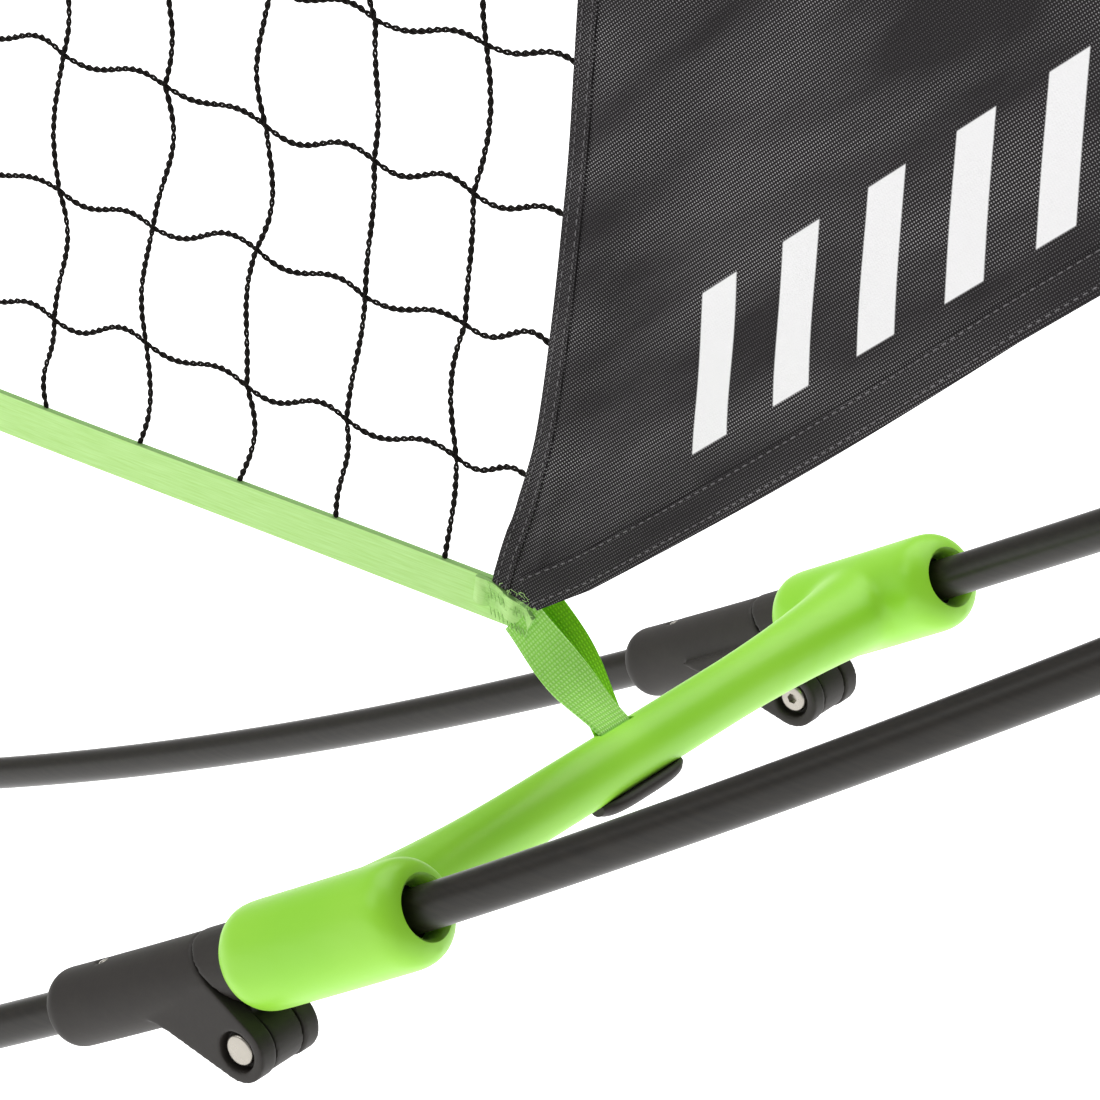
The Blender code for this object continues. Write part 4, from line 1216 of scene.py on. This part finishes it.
def corner_tack():
    """Folded webbing sewn down at the net's corner, and the loose threads round it."""
    chance = random.Random(4)
    places, lengths = [], []
    for i in range(25):
        t = i / 24
        x = CORNER.x - (79.0 - 16.5 * t) * MM
        z = BOTTOM_BAND_CENTRE + (1.9 - 4.6 * t * t) * MM
        y = -(0.9 + 0.5 * math.sin(4 * math.pi * t)) * MM
        tilt = 0.10 + 0.32 * t
        half = WEBBING / 2 * (0.60 - 0.22 * t ** 3 + 0.04 * math.sin(9 * t))
        up = Vector((math.sin(tilt), 0.12 * math.sin(11 * t), math.cos(tilt)))
        places.append(station(Vector((x, y, z)), up * half, Vector((0, 1, 0)) * 0.9 * MM))
        lengths.append(x - CORNER.x)
    bm = ribbon(places, lengths, WEBBING / 2)
    bmesh.ops.subdivide_edges(bm, edges=bm.edges[:], cuts=1, use_grid_fill=True)
    for vert in bm.verts:
        lump = noise.noise(vert.co * 380) * 0.38 + noise.noise(vert.co * 1100) * 0.10
        vert.co += Vector((0.6, -1, 0.6)) * lump * MM
    strands = []
    for _ in range(60):
        root = Vector((CORNER.x - chance.uniform(62.5, 76) * MM, -1.8 * MM,
                       BAND_TOP - chance.uniform(0.3, 7) * MM))
        reach = chance.uniform(0.6, 1.7) * MM
        lean = chance.uniform(0, math.tau)
        tip = root + Vector((math.cos(lean), -0.25, math.sin(lean))) * reach
        mid = (root + tip) / 2 + Vector((0, -0.5 * MM, 0.4 * MM))
        strands.append(([root, mid, tip], 0.07 * MM))
    for row in range(2):
        zigzag = []
        for i in range(19):
            x = CORNER.x - (74.0 - 0.62 * i) * MM
            z = BAND_TOP - (2.6 + 4.2 * row + (1.9 if i % 2 else 0)) * MM - 0.16 * i * MM
            zigzag.append(Vector((x, -2.1 * MM, z)))
        strands.append((zigzag, 0.16 * MM))
    return bm, strands


def corner_straps():
    bar, along, square = bow_frame(PIN_S + BAR_U)
    entry = bar + square * (BAR_HALF_HEIGHT + 0.5 * MM)
    foot = bar - square * (BAR_HALF_HEIGHT - 0.5 * MM)
    start = Vector((CORNER.x - 66.0 * MM, 0, CORNER.z + 3.5 * MM))
    apart = along * 0.7 * MM
    front = strap_body(start - Vector((0, 0.8 * MM, 0)), entry + apart, foot + apart, math.radians(12),
                       Vector((0.4, -0.4, -1.2)) * MM)
    back = strap_body(start + Vector((2.6, 3.6, 1.2)) * MM, entry - apart, foot - apart, math.radians(32),
                      Vector((-0.6, 1.8, 0.2)) * MM)
    tack, sewn = corner_tack()
    for end in (1, -1):
        wing, name = f"{ENDS[end]}_wing", ENDS[end]
        patch = piece(tack, f"{name}_corner_fold", finishes["band"], wing, end=end, sharp=60)
        threads = tubes(f"{name}_corner_threads", sewn, finishes["band"], wing, end)
        near = piece(front, f"{name}_front_strap", finishes["strap"], wing, f"{name}_corner_strap", end=end)
        # Painted shade: the back layer takes the strap's webbing in darker greens.
        far = piece(back, f"{name}_back_strap", finishes["painted shade strap"], wing, end=end)


# Stage, light and camera ------------------------------------------------------------------------

def make_camera():
    yaw, pitch, roll = CAMERA_YAW, CAMERA_PITCH, CAMERA_ROLL
    ahead = Vector((math.sin(yaw) * math.cos(pitch), math.cos(yaw) * math.cos(pitch), math.sin(pitch)))
    level = Vector((math.cos(yaw), -math.sin(yaw), 0))
    upright = level.cross(ahead)
    right = level * math.cos(roll) + upright * math.sin(roll)
    up = upright * math.cos(roll) - level * math.sin(roll)
    data = bpy.data.cameras.new("camera")
    data.lens = CAMERA_LENS
    data.sensor_width = 36
    camera = bpy.data.objects.new("camera", data)
    turn = Matrix((right, up, -ahead)).transposed().to_4x4()
    camera.matrix_world = Matrix.Translation(CORNER + CAMERA_FROM_CORNER) @ turn
    bpy.context.scene.collection.objects.link(camera)
    bpy.context.scene.camera = camera


def make_stage():
    """White floor that runs out of sight."""
    bm = bmesh.new()
    bmesh.ops.create_grid(bm, x_segments=8, y_segments=8, size=12.0)
    mesh = bpy.data.meshes.new("floor")
    bm.to_mesh(mesh)
    bm.free()
    paper, _, _ = finish("white_paper", {
        "Base Color": linear("f6f6f6"), "Roughness": 0.9, "Specular IOR Level": 0.1,
        "Emission Color": (1, 1, 1, 1), "Emission Strength": FLOOR_GLOW})
    mesh.materials.append(paper)
    floor = bpy.data.objects.new("floor", mesh)
    floor.location = (0, 0, -0.5 * MM)
    bpy.context.scene.collection.objects.link(floor)


def soft_light(name, place, size, watts, target=Vector((0.9, 0, 0.4))):
    data = bpy.data.lights.new(name, "AREA")
    data.shape = "RECTANGLE"
    data.size, data.size_y = size
    data.energy = watts
    lamp = bpy.data.objects.new(name, data)
    lamp.location = place
    lamp.rotation_euler = (target - Vector(place)).to_track_quat("-Z", "Y").to_euler()
    bpy.context.scene.collection.objects.link(lamp)


def make_light():
    world = bpy.data.worlds.new("studio")
    bpy.context.scene.world = world
    world.use_nodes = True
    sky = world.node_tree.nodes["Background"]
    sky.inputs["Color"].default_value = (1, 1, 1, 1)
    sky.inputs["Strength"].default_value = SKY_STRENGTH
    soft_light("overhead", (0.3, 0.9, 3.0), (5.0, 3.0), 110)
    soft_light("left", (-1.4, -2.2, 2.6), (2.0, 2.0), 30)
    bpy.context.scene.view_settings.view_transform = "Standard"


make_stage()
make_light()
make_camera()
finishes = {"fibreglass": fibreglass(), "black nylon": glass_filled_nylon(), "green nylon": green_nylon(),
            "rubber": rubber(), "steel": turned_steel(), "cord": knitted_cord(),
            "band": soft_webbing(),
            "strap": ribbed_webbing("strap_webbing", "baf08c", "93d957"),
            # The back strap's webbing is the strap's own, drawn in darker greens: painted shade on the layer
            # that lies behind.
            "painted shade strap": ribbed_webbing("inner_webbing_painted_shade", "84d60c", "6cbc04"),
            "cloth": plain_weave("open_plain_weave", 0.66, marks=True),
            "hem": plain_weave("hem_weave", 0.42), "thread": sewing_thread()}
hinges()
bars_and_shoes()
tips()
netting()
end_panels()
bands()
corner_straps()
